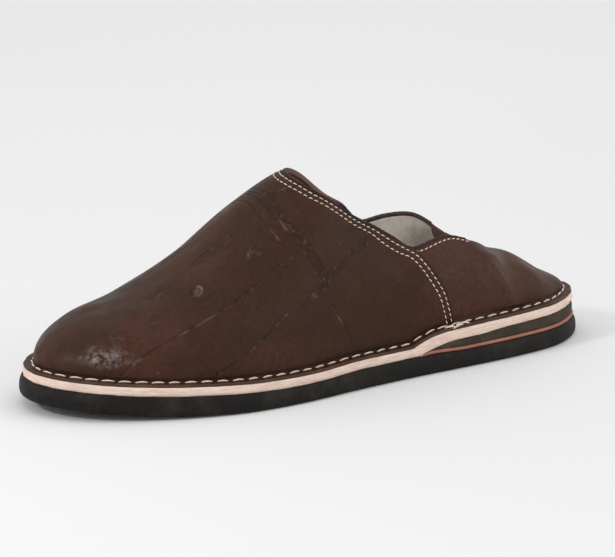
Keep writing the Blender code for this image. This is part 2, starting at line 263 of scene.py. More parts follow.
# Tooled lines on the vamp, the same on both sides of the ridge
TOOLED_LINES = (
    # name, grooves, spacing, half width, strength, points as along and roll
    ("throat_fore", 1, 0.0, 0.0009, 0.9, ((0.620, 90), (0.624, 67), (0.607, 44))),
    ("throat_mid", 2, 0.0018, 0.0010, 1.0, ((0.604, 90), (0.603, 69), (0.591, 52), (0.568, 37), (0.556, 27))),
    ("throat_rear", 1, 0.0, 0.0013, 1.0, ((0.594, 90), (0.591, 58), (0.570, 43), (0.547, 29))),
    ("ridge_lines", 3, 0.0018, 0.0009, 0.8, ((0.642, 74), (0.708, 78), (0.767, 79), (0.817, 75))),
    ("side_line", 1, 0.0, 0.0010, 1.0, ((0.590, 43), (0.676, 42), (0.756, 40), (0.826, 35))),
    ("toe_line", 1, 0.0, 0.0014, 1.0, ((0.850, 31), (0.892, 19), (0.915, 6))),
    ("low_line", 1, 0.0, 0.0010, 0.9, ((0.636, 23), (0.711, 14), (0.774, 3))),
    ("lap_line", 2, 0.0018, 0.0012, 0.8, ((0.450, 45), (0.513, 32), (0.558, 26), (0.603, 23))),
    ("foot_line", 1, 0.0, 0.0010, 0.7, ((0.547, 19), (0.511, 5))),
    ("throat_marks", 2, 0.0016, 0.0009, 1.0, ((0.588, 77), (0.566, 74))),
)
RING_STAMPS = (
    # along, roll, strength
    (0.657, 56, 1.0),
    (0.760, 60, 1.0),
    (0.516, 38, 0.4),
    (0.835, 56, 0.5),
    (0.903, 47, 0.4),
)
RING_RADIUS = 0.0030

# The rubbed spot of the toe, as along and roll
POLISHED = (0.93, 28)

# Colours in red, green and blue out of 255
BROWN = (60, 37, 25)
SOFT_BROWN = (74, 48, 37)
FACING_BROWN = (128, 94, 82)
WARM_BROWN = (75, 45, 34)
OLIVE_BROWN = (55, 39, 26)
# Dark brown for mottle, grooves and cut edges, and for the painted shade in the crease
DARK_EDGE_AND_CREASE_SHADE = (33, 22, 18)
# Pale scuff colour, also used for the painted highlight on the stamp rims
SCUFF_AND_RIM_HIGHLIGHT = (150, 122, 104)
SUEDE = (222, 216, 207)
RUBBED_SUEDE = (180, 174, 165)
CREAM = (232, 216, 198)
PALE_LEATHER = (236, 215, 201)
FIBRE = (204, 172, 154)
RUBBER = (25, 22, 19)
CHARCOAL = (56, 50, 41)
TERRACOTTA = (156, 102, 88)
RAW_EDGE = (72, 53, 43)
FLOOR_GREY = (227, 227, 228)
BINDING = (44, 32, 30)
RUBBED_BINDING = (64, 46, 41)
PALE_BINDING = (118, 88, 78)
NAP = (226, 220, 211)
GRUBBY = (206, 178, 160)
WAXED = (196, 170, 146)
DUSTY_RUBBER = (50, 46, 40)
DUSTY_CHARCOAL = (78, 70, 60)
DUSTY_TERRACOTTA = (178, 126, 108)
DUSTY_EDGE = (100, 76, 62)
PALE_FLOOR = (232, 232, 232)

# The camera of the picture: degrees, metres, and its focal length in pixels
CAMERA_AZIMUTH = 58.61
CAMERA_HEIGHT = 13.765
CAMERA_ROLL = -0.348
CAMERA_TARGET = (-0.00083, -0.00092, 0.04411)
CAMERA_DISTANCE = 1.8649
SENSOR_WIDTH = 36.0
FOCAL_LENGTH = 3891
PICTURE_WIDTH = 615

# The studio
FLOOR_HALF = 5.0
ROOM_LIGHT = 0.84
LAMPS = (
    # name, place, point it faces, size, watts
    ("overhead", (-0.4, 0.2, 2.4), (0, 0.02, 0.03), (2.4, 2.4), 6),
    ("toe_side", (0.10, -1.60, 1.10), (0, -0.10, 0.04), (0.32, 0.24), 10),
    ("heel_side", (1.30, 1.30, 0.90), (0, 0.06, 0.03), (1.2, 0.8), 7),
)


def curve_through(knots, values, at):
    """A smooth curve through the values, with slopes taken from their neighbours."""
    knots = np.asarray(knots, float)
    values = np.asarray(values, float)
    steps = np.diff(knots)
    rises = np.diff(values) / steps
    slopes = np.empty_like(values)
    weighted = rises[:-1] * steps[1:] + rises[1:] * steps[:-1]
    slopes[1:-1] = weighted / (steps[1:] + steps[:-1])
    slopes[0] = rises[0]
    slopes[-1] = rises[-1]
    cell = np.clip(np.searchsorted(knots, at) - 1, 0, len(steps) - 1)
    step = steps[cell]
    s = (at - knots[cell]) / step
    start = values[cell] * (1 + 2 * s) * (1 - s) ** 2
    end = values[cell + 1] * s * s * (3 - 2 * s)
    leave = slopes[cell] * step * s * (1 - s) ** 2
    arrive = slopes[cell + 1] * step * s * s * (s - 1)
    return start + end + leave + arrive


def closed_curve(knots, values, at, period):
    """The same curve where the last value is followed by the first."""
    knots = np.asarray(knots, float)
    values = np.asarray(values, float)
    longer = np.concatenate([knots[-2:] - period, knots, knots[:2] + period])
    return curve_through(longer, np.concatenate([values[-2:], values, values[:2]]), at)


def ease(start, end, value):
    """0 up to start, 1 from end on, and smooth between."""
    share = np.clip((value - start) / (end - start), 0.0, 1.0)
    return share * share * (3.0 - 2.0 * share)


def turn_of(along):
    """Turn in radians of a share of the length, so that round ends stay round."""
    return np.arccos(1.0 - 2.0 * np.asarray(along, float))


def unit(vectors):
    return vectors / np.linalg.norm(vectors, axis=-1, keepdims=True)


def outline(turns, outset=0.0):
    """Points of the sole's edge seen from above, moved out by outset."""
    rows = np.array(SOLE_OUTLINE)
    outer_turns = turn_of(rows[:, 0])
    knots = np.concatenate([[0.0], outer_turns, [np.pi], 2 * np.pi - outer_turns[::-1]])
    shares = np.concatenate([[0.0], rows[:, 1], [TOE_TIP], -rows[::-1, 2]])

    def edge(at):
        x = closed_curve(knots, shares * BALL_WIDTH, np.mod(at, 2 * np.pi), 2 * np.pi)
        return np.column_stack([x, SOLE_LENGTH / 2 * np.cos(at)])

    tangent = unit(edge(turns + 0.01) - edge(turns - 0.01))
    outward = np.column_stack([-tangent[:, 1], tangent[:, 0]])
    return edge(turns) + outward * np.reshape(outset, (-1, 1))


def fine_round():
    """Turns closely round the sole, with the first one again at the end."""
    return np.linspace(0, 2 * np.pi, FINE_ROUND + 1)


def side_shift():
    """Sideways move that puts the widest points evenly about x = 0."""
    across = outline(fine_round())[:, 0]
    return -(across.max() + across.min()) / 2


SIDE_SHIFT = np.array([side_shift(), 0.0, 0.0])


def along_of(y):
    return 0.5 - y / SOLE_LENGTH


def sole_bottom(y):
    reach = np.clip((along_of(y) - SPRING_START) / (1 - SPRING_START), 0.0, None)
    return TOE_SPRING * reach**2


def outsole_top(y):
    along = along_of(y)
    waist = OUTSOLE_HEEL + (OUTSOLE_WAIST - OUTSOLE_HEEL) * ease(0.15, 0.45, along)
    front = (OUTSOLE_TOE - OUTSOLE_WAIST) * ease(0.60, 0.80, along)
    return sole_bottom(y) + waist + front


def full_lift(along):
    """Height of the rand and the wedge under the heel, more towards its back."""
    flat = RAND_THICKNESS + WEDGE_THICKNESS + 2 * SEAT_GAP
    return flat + WEDGE_SLOPE * (WEDGE_FULL - along)


def last_base(y):
    """Height of the upper's foot on the plain last that its ridge is measured from."""
    along = along_of(y)
    lift = full_lift(along) * (1 - ease(WEDGE_FULL, WEDGE_FRONT, along))
    return outsole_top(y) + lift + 2 * SEAT_GAP + MIDSOLE_THICKNESS + FLANGE_THICKNESS


def rubber_top(y):
    """The outsole's top, a little fuller at the waist."""
    along = along_of(y)
    return outsole_top(y) + WAIST_SWELL * ease(0.28, 0.36, along) * (1 - ease(0.48, 0.60, along))


def wedge_lift(y):
    """Room under the midsole for the rand and the wedge, with a blunt nose."""
    along = along_of(y)
    share = np.clip((WEDGE_NOSE - along) / NOSE_LENGTH, 0.0, 1.0)
    return (full_lift(along) - NOSE_DROP * ease(0.19, 0.26, along)) * (1 - (1 - share) ** 2)


def midsole_bottom(y):
    return rubber_top(y) + SEAT_GAP + wedge_lift(y)


def flange_bottom(y):
    """The midsole's top, which climbs to the heel a little ahead of the wedge."""
    along = along_of(y)
    share = np.clip((along - STEP_FULL) / (STEP_FRONT - STEP_FULL), 0.0, 1.0)
    return rubber_top(y) + full_lift(along) * (1 - share**3) + MIDSOLE_THICKNESS + 2 * SEAT_GAP


def flange_top(y):
    return flange_bottom(y) + FLANGE_THICKNESS


def flat_ring(turns, outset, height):
    """The sole's edge moved out by outset, at the height that a function of y gives."""
    edge = outline(turns, outset)
    return np.column_stack([edge, height(edge[:, 1])])


def crease_sides():
    """The crease as seen from above: its two sides, its middle and half its length."""
    loop = outline(fine_round(), -CREASE_INSET)
    toe = FINE_ROUND // 2
    outer, inner = loop[: toe + 1], loop[: toe - 1 : -1]
    middle = (outer[0, 1] + outer[-1, 1]) / 2
    half = (outer[0, 1] - outer[-1, 1]) / 2
    return outer, inner, middle, half


CREASE_OUTER, CREASE_INNER, CREASE_MIDDLE, CREASE_HALF = crease_sides()


def crease_turn(y):
    return np.arccos(np.clip((y - CREASE_MIDDLE) / CREASE_HALF, -1.0, 1.0))


def ridge_column(column, turns):
    """Height, fullness or lean of the ridge; height and lean are 0 at heel and toe."""
    rows = np.array(RIDGE)
    ends = (0.0, 0.0) if column in (1, 3) else (rows[0, column], rows[-1, column])
    knots = np.concatenate([[0.0], turn_of(rows[:, 0]), [np.pi]])
    return curve_through(knots, np.concatenate([[ends[0]], rows[:, column], [ends[1]]]), turns)


def upper_surface(directions):
    """The outside of the upper, for directions on a half globe with its poles at heel and toe."""
    turns = np.arccos(np.clip(directions[..., 1], -1.0, 1.0))
    across = np.clip(directions[..., 0] / np.maximum(np.sin(turns), 1e-9), -1.0, 1.0)
    up = np.sqrt(1.0 - across**2)
    outer = np.interp(turns, crease_turn(CREASE_OUTER[:, 1]), CREASE_OUTER[:, 0])
    inner = np.interp(turns, crease_turn(CREASE_INNER[:, 1]), CREASE_INNER[:, 0])
    power = 2.0 / ridge_column(2, turns)
    reach = np.sign(across) * np.abs(across) ** power
    lift = up**power
    y = CREASE_MIDDLE + CREASE_HALF * np.cos(turns)
    x = (outer + inner) / 2 + (outer - inner) / 2 * reach - ridge_column(3, turns) * lift**2
    rise = last_base(y) - flange_top(y) + INSTEP_RISE * ridge_column(1, turns)
    z = flange_top(y) + rise * lift
    return np.stack([x, y, z], axis=-1)


def globe(turns, rolls):
    """Directions on the half globe at a turn from the heel and a roll over the ridge."""
    parts = (np.sin(turns) * np.cos(rolls), np.cos(turns), np.sin(turns) * np.sin(rolls))
    return np.stack(parts, axis=-1)


def collar_directions(turns):
    rows = np.array(COLLAR, float)
    places = globe(turn_of(rows[:, 1]), np.radians(rows[:, 2]))
    smooth = [closed_curve(rows[:, 0], places[:, axis], turns, 360) for axis in range(3)]
    return unit(np.stack(smooth, axis=-1))


def foot_directions(turns):
    """Directions of the crease points that lie straight in from the sole's edge."""
    crease = outline(np.radians(turns), -CREASE_INSET)
    turned = crease_turn(crease[:, 1])
    side = np.where(np.mod(turns, 360) <= 180, 1.0, -1.0)
    return np.column_stack([side * np.sin(turned), np.cos(turned), 0 * turned])


def bare_wall(turns, shares):
    """Directions and points of the wall at shares of the way from the crease to the collar."""
    foot = foot_directions(turns)
    top = collar_directions(np.mod(turns, 360))
    angle = np.arccos(np.clip((foot * top).sum(axis=1), -1.0, 1.0))
    start = np.sin((1 - shares) * angle) / np.sin(angle)
    end = np.sin(shares * angle) / np.sin(angle)
    directions = start[:, None] * foot + end[:, None] * top
    return directions, upper_surface(directions)


def wall_frame(turns, shares):
    """Points of the wall with the steps of one degree of turn and one whole share."""
    points = bare_wall(turns, shares)[1]
    after, before = (bare_wall(turns + step, shares)[1] for step in (TURN_STEP, -TURN_STEP))
    above, below = (bare_wall(turns, shares + step)[1] for step in (SHARE_STEP, -SHARE_STEP))
    return points, (after - before) / (2 * TURN_STEP), (above - below) / (2 * SHARE_STEP)


def rise_rate(turns):
    """Metres in one whole share of the wall, at the collar line."""
    return np.linalg.norm(wall_frame(turns, np.ones_like(turns))[2], axis=1)


def over_edge(turns, rise):
    """The share of the wall that lies a rise above the collar line."""
    return 1 + rise / rise_rate(turns)


def chart_place(directions):
    """Where a point lies on the flat leather: along the foot and across from the ridge."""
    turns = np.arccos(np.clip(directions[:, 1], -1.0, 1.0))
    rolls = np.arctan2(directions[:, 2], directions[:, 0])
    steps = np.linspace(0.0, 1.0, 25)
    path = [upper_surface(globe(turns, np.pi / 2 + (rolls - np.pi / 2) * s)) for s in steps]
    across = sum(np.linalg.norm(b - a, axis=1) for a, b in zip(path, path[1:]))
    along = along_of(CREASE_MIDDLE + CREASE_HALF * np.cos(turns)) * SOLE_LENGTH
    return np.column_stack([along, across * np.sign(np.pi / 2 - rolls)])


def chart_points(rows):
    """Chart places of listed along and roll pairs."""
    rows = np.array(rows, float)
    return chart_place(globe(turn_of(rows[:, 0]), np.radians(rows[:, 1])))


def distance_to_line(places, start, end):
    line = end - start
    share = np.clip(((places - start) @ line) / (line @ line), 0.0, 1.0)
    return np.linalg.norm(places - start - share[:, None] * line, axis=1)


def soft_height(places):
    """How far the leather stands proud of its last, from the soft forms."""
    height = np.zeros(len(places))
    for along_a, roll_a, along_b, roll_b, width, rise in SOFT_FORMS:
        start, end = chart_points(((along_a, roll_a), (along_b, roll_b)))
        height += rise * np.exp(-((distance_to_line(places, start, end) / width) ** 2))
    along, across = places.T
    height += RIPPLE * np.sin(along * 210 + across * 150) * np.sin(across * 230 + 1.3)
    return height


def inside_lap(turns):
    """Degrees from the nearer lap edge into the vamp, below 0 on the quarter."""
    middle = (OUTER_LAP + INNER_LAP) / 2
    return (INNER_LAP - OUTER_LAP) / 2 - np.abs(np.mod(turns, 360) - middle)


def lap_height(turns):
    """Thickness of the vamp over the quarter, with its edge rounded over."""
    depth = np.clip(inside_lap(turns) * np.radians(SOLE_LENGTH / 2) / LAP_ROUND, 0.0, 1.0)
    return LAP * np.sqrt(1 - (1 - depth) ** 2)


def tuck(turns):
    """1 where the back of the collar is folded into the shoe, 0 where it stands up."""
    from_heel = np.mod(turns + 180, 360) - 180
    return ease(-27, -17, from_heel) * (1 - ease(29, 40, from_heel))


def collar_top(turns):
    """The share at the leather's edge, over the collar line by its turned and tucked parts."""
    return over_edge(turns, TURNED_EDGE + TUCK_DEPTH * tuck(turns))


def folded_wall(turns, shares):
    """Points, outward and upward directions of the wall, rolled inwards past the collar line."""
    standing = np.minimum(shares, 1.0)
    points, by_turn, by_share = wall_frame(turns, standing)
    outward, upward = unit(np.cross(by_share, by_turn)), unit(by_share)
    run = (shares - standing) * np.linalg.norm(by_share, axis=1)
    bend = np.clip(tuck(turns) * 4, 0.001, 1.0) / TUCK_RADIUS
    curved = np.minimum(run, TUCK_TURN / bend)
    angle = bend * curved
    rise = curved * np.sinc(angle / np.pi)
    inset = bend * curved**2 / 2 * np.sinc(angle / (2 * np.pi)) ** 2
    sine, cosine = np.sin(angle)[:, None], np.cos(angle)[:, None]
    ahead = upward * cosine - outward * sine
    points = points + upward * rise[:, None] - outward * inset[:, None] + ahead * (run - curved)[:, None]
    return points, outward * cosine + upward * sine, ahead


def leather_wall(turns, shares, soft=1.0):
    """Points on the outer face of the upper, its outward normals and its chart places."""
    points, outward, _ = folded_wall(turns, shares)
    places = chart_place(bare_wall(turns, np.minimum(shares, 1.0))[0])
    rise = soft_height(places) * soft * ease(0.0, 0.10, shares) * (1 - ease(0.92, 1.0, shares))
    rise = rise + lap_height(turns) * ease(0.0, 0.03, shares)
    return points + outward * rise[:, None], outward, places


def paint(colour):
    """A colour out of 255 as Blender's linear red, green, blue and alpha."""
    share = np.array(colour, float) / 255
    linear = np.where(share <= 0.04045, share / 12.92, ((share + 0.055) / 1.055) ** 2.4)
    return (*[float(part) for part in linear], 1.0)


def piece_mesh(name, points, faces, materials, slots=None, maps=None):
    """A closed piece of the shoe from its points and faces."""
    mesh = bpy.data.meshes.new(name)
    mesh.from_pydata((points + SIDE_SHIFT).tolist(), [], faces)
    for made_of in materials:
        mesh.materials.append(made_of)
    if slots is not None:
        mesh.polygons.foreach_set("material_index", slots)
    corners = np.empty(len(mesh.loops), int)
    mesh.loops.foreach_get("vertex_index", corners)
    for map_name, places in (maps or {}).items():
        layer = mesh.uv_layers.new(name=map_name)
        layer.data.foreach_set("uv", places[corners].astype(np.float32).ravel())
    shell = bmesh.new()
    shell.from_mesh(mesh)
    bmesh.ops.recalc_face_normals(shell, faces=shell.faces)
    shell.to_mesh(mesh)
    shell.free()
    mesh.shade_smooth()
    mesh.set_sharp_from_angle(angle=np.radians(50))
    return add_piece(name, mesh)


def add_piece(name, mesh):
    piece = bpy.data.objects.new(name, mesh)
    bpy.context.scene.collection.objects.link(piece)
    return piece


def finish_piece(piece, slot, *nodes):
    """The piece rides on the shoe and may stand for solids; the slot is not used."""
    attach(piece, "root")
    if nodes:
        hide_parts(*nodes)


def bridge(count, lower, upper):
    """Quads between two closed rings of the same count, given their first indices."""
    after = [(i + 1) % count for i in range(count)]
    return [(lower + i, lower + after[i], upper + after[i], upper + i) for i in range(count)]


def rungs(count, first):
    """Faces across a ring, from its outer side to its inner side."""
    half = count // 2
    faces = [(first, first + 1, first + count - 1)]
    for i in range(1, half - 1):
        faces.append((first + i, first + i + 1, first + count - i - 1, first + count - i))
    faces.append((first + half - 1, first + half, first + half + 1))
    return faces


def heel_rungs(count, first):
    """Faces across a ring that starts at the heel and is cut straight in front."""
    half = count // 2
    faces = [(first, first + 1, first + count - 1)]
    for i in range(1, half):
        faces.append((first + i, first + i + 1, first + count - i - 1, first + count - i))
    return faces


def ring_faces(count, levels, cap):
    faces = cap(count, 0) + cap(count, count * (levels - 1))
    for level in range(levels - 1):
        faces += bridge(count, count * level, count * (level + 1))
    return faces


def fill_inputs(tree, node, inputs):
    """Each input linked to a socket or set to a plain value."""
    for name, value in inputs.items():
        if isinstance(value, bpy.types.NodeSocket):
            tree.links.new(value, node.inputs[name])
        else:
            node.inputs[name].default_value = value


def add_step(tree, kind, inputs=None, **settings):
    """A node with its settings, its numbers and its links in."""
    made = tree.nodes.new(kind)
    for name, value in settings.items():
        setattr(made, name, value)
    fill_inputs(tree, made, inputs or {})
    return made


def add_node(tree, kind, inputs=None, **settings):
    """The same for a shader node, named without its prefix."""
    return add_step(tree, "ShaderNode" + kind, inputs, **settings)


def maths(tree, operation, first, second=0.0, third=0.0):
    return add_node(tree, "Math", {0: first, 1: second, 2: third}, operation=operation).outputs[0]


def vector_maths(tree, operation, first, second, result="Vector"):
    """What two vectors make: a vector, or a number when the result asked for is the value."""
    return add_node(tree, "VectorMath", {0: first, 1: second}, operation=operation).outputs[result]


def scaled(tree, vector, factor):
    return add_node(tree, "VectorMath", {0: vector, "Scale": factor}, operation="SCALE").outputs[0]


def remap(tree, value, low, high, to_low=0.0, to_high=1.0):
    """The value eased from one range to another."""
    inputs = {"Value": value, "From Min": low, "From Max": high, "To Min": to_low, "To Max": to_high}
    return add_node(tree, "MapRange", inputs, interpolation_type="SMOOTHSTEP").outputs[0]


def blend_colours(tree, share, first, second):
    """One colour turning into another; each is a socket or a colour out of 255."""
    colours = [paint(each) if isinstance(each, tuple) else each for each in (first, second)]
    inputs = {0: share, 6: colours[0], 7: colours[1]}
    return add_node(tree, "Mix", inputs, data_type="RGBA").outputs[2]


def noise(tree, place, scale, detail=3.0, roughness=0.55):
    """Noise from 0 to 1 at a place, with its scale in waves per metre."""
    inputs = {"Vector": place, "Scale": scale, "Detail": detail, "Roughness": roughness}
    return add_node(tree, "TexNoise", inputs).outputs["Fac"]


def bump(tree, height, distance, strength=1.0, under=None):
    """The normal of a surface with a height, over another bump if there is one."""
    inputs = {"Height": height, "Distance": distance, "Strength": strength}
    if under is not None:
        inputs["Normal"] = under
    return add_node(tree, "Bump", inputs).outputs[0]


def new_material(name):
    """A material, its node tree and the place of a point on the object."""
    made = bpy.data.materials.new(name)
    made.use_nodes = True
    tree = made.node_tree
    place = add_node(tree, "TexCoord").outputs["Object"]
    return made, tree, place


def set_surface(tree, colour, roughness, specular, normal=None, more=None):
    """The material's surface: each value is a number or a socket, and more holds other inputs."""
    inputs = {"Base Color": colour, "Roughness": roughness, "Specular IOR Level": specular}
    if normal is not None:
        inputs["Normal"] = normal
    fill_inputs(tree, tree.nodes["Principled BSDF"], {"Metallic": 0.0, **inputs, **(more or {})})


def stretched(tree, place, scale):
    """The place with each axis scaled, for a grain that runs one way."""
    return add_node(tree, "Mapping", {"Vector": place, "Scale": scale}).outputs[0]


def add_sockets(tree, names, kind, in_out="INPUT"):
    """Named inputs or outputs of one kind on a node group."""
    for name in names:
        tree.interface.new_socket(name, in_out=in_out, socket_type="NodeSocket" + kind)


def stretch_group():
    """A node group: the distance from one stretch of a line, unless another is nearer."""
    group = bpy.data.node_groups.new("Tooled stretch", "ShaderNodeTree")
    add_sockets(group, ("Place", "Start", "End"), "Vector")
    add_sockets(group, ("Nearest",), "Float")
    add_sockets(group, ("Nearest",), "Float", "OUTPUT")
    inside = group.nodes.new("NodeGroupInput").outputs
    line = vector_maths(group, "SUBTRACT", inside["End"], inside["Start"])
    offset = vector_maths(group, "SUBTRACT", inside["Place"], inside["Start"])
    reach = vector_maths(group, "DOT_PRODUCT", offset, line, "Value")
    length = vector_maths(group, "DOT_PRODUCT", line, line, "Value")
    share = add_node(group, "Math", {0: reach, 1: length}, operation="DIVIDE", use_clamp=True).outputs[0]
    foot = scaled(group, line, share)
    gap = vector_maths(group, "DISTANCE", offset, foot, "Value")
    least = maths(group, "MINIMUM", gap, inside["Nearest"])
    group.links.new(least, group.nodes.new("NodeGroupOutput").inputs[0])
    return group


def line_distance(tree, group, place, points):
    """Distance on the chart from a line through the points."""
    nearest = 1.0
    places = chart_points(points)
    for start, end in zip(places, places[1:]):
        ends = {"Start": (start[0], abs(start[1]), 0), "End": (end[0], abs(end[1]), 0)}
        inputs = {"Place": place, **ends, "Nearest": nearest}
        nearest = add_node(tree, "Group", inputs, node_tree=group).outputs[0]
    return nearest


def line_depth(tree, distance, grooves, spacing, half_width, strength):
    """Depth from 0 to 1 of a bundle of grooves about the line."""
    if grooves == 2:
        distance = maths(tree, "ABSOLUTE", maths(tree, "SUBTRACT", distance, spacing / 2))
    if grooves == 3:
        beside = maths(tree, "ABSOLUTE", maths(tree, "SUBTRACT", distance, spacing))
        distance = maths(tree, "MINIMUM", distance, beside)
    return remap(tree, distance, 0.0, half_width, strength, 0.0)


def tooling(tree, wobble):
    """Depth of the vamp's tooled lines and stamps, and the raised rims of the stamps."""
    chart = add_node(tree, "UVMap", uv_map="chart").outputs[0]
    parts = add_node(tree, "SeparateXYZ", {0: chart}).outputs
    mirrored = maths(tree, "ABSOLUTE", parts[1])
    place = add_node(tree, "CombineXYZ", {0: parts[0], 1: mirrored}).outputs[0]
    place = vector_maths(tree, "ADD", place, wobble)
    group = stretch_group()
    depth = 0.0
    for _, grooves, spacing, half_width, strength, points in TOOLED_LINES:
        distance = line_distance(tree, group, place, points)
        pressed = line_depth(tree, distance, grooves, spacing, half_width, strength)
        depth = maths(tree, "MAXIMUM", depth, pressed)
    rims = 0.0
    for along, roll, strength in RING_STAMPS:
        middle = chart_points(((along, roll),))[0]
        centre = (middle[0], abs(middle[1]), 0)
        apart = vector_maths(tree, "DISTANCE", place, centre, "Value")
        pressed = remap(tree, apart, 0.4 * RING_RADIUS, 0.9 * RING_RADIUS, 0.8 * strength, 0.0)
        depth = maths(tree, "MAXIMUM", depth, pressed)
        rim = maths(tree, "ABSOLUTE", maths(tree, "SUBTRACT", apart, RING_RADIUS))
        rims = maths(tree, "MAXIMUM", rims, remap(tree, rim, 0.0, 0.0011, strength, 0.0))
    return depth, rims


def rubbed_toe(tree, place):
    """Shine of the vamp: low, and stronger where the toe is rubbed."""
    middle = upper_surface(globe(turn_of(POLISHED[0]), np.radians(POLISHED[1]))) + SIDE_SHIFT
    tall = np.array([1.0, 1.0, 2.4])
    spot = tuple(middle * tall)
    apart = vector_maths(tree, "DISTANCE", stretched(tree, place, tuple(tall)), spot, "Value")
    ragged = maths(tree, "MULTIPLY_ADD", noise(tree, place, 120.0, 3.0, 0.6), 0.014, apart)
    cracked = remap(tree, noise(tree, place, 360.0, 4.0, 0.7), 0.40, 0.66)
    shine = maths(tree, "MULTIPLY", remap(tree, ragged, 0.009, 0.022, 1.0, 0.0), cracked)
    return maths(tree, "MULTIPLY_ADD", shine, 1.8, 0.09)


def edge_map(tree):
    """Distances from the collar or lap edge and from the crease, in metres."""
    place = add_node(tree, "UVMap", uv_map="edges").outputs[0]
    parts = add_node(tree, "SeparateXYZ", {0: place}).outputs
    return parts[0], parts[1]


def leather_grain(tree, place):
    """Fine pebbles, pores and soft creases of pull-up leather, as one height."""
    pebbles = add_node(tree, "TexVoronoi", {"Vector": place, "Scale": 900.0, "Randomness": 0.9})
    fine = noise(tree, place, 1800.0, 2.0)
    creases = noise(tree, stretched(tree, place, (1.0, 0.45, 1.0)), 130.0, 5.0, 0.65)
    pores = maths(tree, "MULTIPLY", fine, 0.25)
    height = maths(tree, "MULTIPLY_ADD", pebbles.outputs["Distance"], 0.35, pores)
    return maths(tree, "MULTIPLY_ADD", creases, 1.1, height)


def leather_colour(tree, place, base):
    """A brown that drifts to warm red and to olive in soft patches."""
    warm = remap(tree, noise(tree, place, 26.0, 3.0, 0.6), 0.48, 0.72, 0.0, 0.85)
    olive = remap(tree, noise(tree, stretched(tree, place, (1.3, 0.9, 1.1)), 31.0, 3.0, 0.6), 0.50, 0.72)
    colour = blend_colours(tree, warm, base, WARM_BROWN)
    colour = blend_colours(tree, maths(tree, "MULTIPLY", olive, 0.7), colour, OLIVE_BROWN)
    mottle = remap(tree, noise(tree, place, 420.0, 4.0, 0.7), 0.35, 0.72, 0.0, 0.40)
    return blend_colours(tree, mottle, colour, DARK_EDGE_AND_CREASE_SHADE)


def crease_shade_and_dark_edges(tree, colour):
    """The colour with painted shade in the crease at the wall's foot, and darker along the cut edges."""
    from_edge, from_crease = edge_map(tree)
    # Painted shade: darker towards the crease at the wall's foot and over the flange
    foot = remap(tree, from_crease, 0.0, 0.005, 0.32, 0.0)
    colour = blend_colours(tree, foot, colour, DARK_EDGE_AND_CREASE_SHADE)
    edge = remap(tree, from_edge, 0.0010, 0.0016, 0.7, 0.0)
    return blend_colours(tree, edge, colour, DARK_EDGE_AND_CREASE_SHADE)


def tooled_finish(tree, place, colour, normal):
    """The colour and the normal with the tooling pressed in, worn pale in places, and a painted highlight on
    the stamps' raised rims.
    """
    drift = add_node(tree, "TexNoise", {"Vector": place, "Scale": 60.0}).outputs["Color"]
    wobble = scaled(tree, vector_maths(tree, "SUBTRACT", drift, (0.5, 0.5, 0.5)), 0.0012)
    uneven = remap(tree, noise(tree, place, 95.0, 3.0, 0.6), 0.30, 0.62, 0.25, 1.0)
    wear = remap(tree, noise(tree, place, 90.0, 5.0, 0.7), 0.50, 0.66)
    depth, rims = tooling(tree, wobble)
    depth = maths(tree, "MULTIPLY", depth, uneven)
    # Painted highlight: the stamps' raised rims are painted pale, broken up by the wear noise
    rim_highlight = maths(tree, "MULTIPLY", rims, wear)
    worn = maths(tree, "MULTIPLY", depth, wear)
    for share, strength, shade in ((depth, 0.50, DARK_EDGE_AND_CREASE_SHADE), (worn, 0.40, SCUFF_AND_RIM_HIGHLIGHT), (rim_highlight, 0.42, SCUFF_AND_RIM_HIGHLIGHT)):
        colour = blend_colours(tree, maths(tree, "MULTIPLY", share, strength), colour, shade)
    raised = maths(tree, "SUBTRACT", maths(tree, "MULTIPLY", rims, 0.6), depth)
    return colour, bump(tree, raised, 0.00065, 1.0, normal)


def brown_leather(name, base, tooled=False):
    """Oiled brown leather; the vamp's also has its tooling and its rubbed toe."""
    made, tree, place = new_material(name)
    colour = crease_shade_and_dark_edges(tree, leather_colour(tree, place, base))
    normal = bump(tree, leather_grain(tree, place), 0.00030, 0.75)
    specular = 0.09
    if tooled:
        colour, normal = tooled_finish(tree, place, colour, normal)
        specular = rubbed_toe(tree, place)
    flecks = remap(tree, noise(tree, place, 260.0, 2.0, 0.5), 0.745, 0.80, 0.0, 0.35)
    colour = blend_colours(tree, flecks, colour, SCUFF_AND_RIM_HIGHLIGHT)
    roughness = remap(tree, noise(tree, place, 90.0, 4.0, 0.6), 0.3, 0.7, 0.40, 0.56)
    coat = {"Coat Weight": 0.03, "Coat Roughness": 0.28}
    set_surface(tree, colour, roughness, specular, normal, coat)
    return made


def edge_leather():
    """Dark turned and folded edges, paler round the inner side of the throat."""
    made, tree, place = new_material("Dark binding leather")
    mottle = remap(tree, noise(tree, place, 300.0, 4.0, 0.7), 0.3, 0.7)
    parts = add_node(tree, "SeparateXYZ", {0: place}).outputs
    throat = remap(tree, parts[1], 0.012, 0.030, 0.85, 0.0)
    inner = maths(tree, "MULTIPLY", throat, remap(tree, parts[0], -0.014, 0.002, 1.0, 0.0))
    colour = blend_colours(tree, mottle, BINDING, RUBBED_BINDING)
    colour = blend_colours(tree, inner, colour, PALE_BINDING)
    set_surface(tree, colour, 0.5, 0.13, bump(tree, leather_grain(tree, place), 0.0002, 0.5))
    return made


def suede():
    """Napped pale grey lining with darker rubbed patches."""
    made, tree, place = new_material("Grey suede lining")
    rubbed = remap(tree, noise(tree, place, 45.0, 5.0, 0.7), 0.40, 0.72)
    fibres = noise(tree, stretched(tree, place, (1.0, 1.0, 0.4)), 900.0, 4.0, 0.7)
    colour = blend_colours(tree, rubbed, SUEDE, RUBBED_SUEDE)
    colour = blend_colours(tree, remap(tree, fibres, 0.3, 0.7, 0.0, 0.45), colour, NAP)
    sheen = {"Sheen Weight": 0.35, "Sheen Roughness": 0.5}
    set_surface(tree, colour, 0.95, 0.15, bump(tree, fibres, 0.0004, 0.6), sheen)
    return made


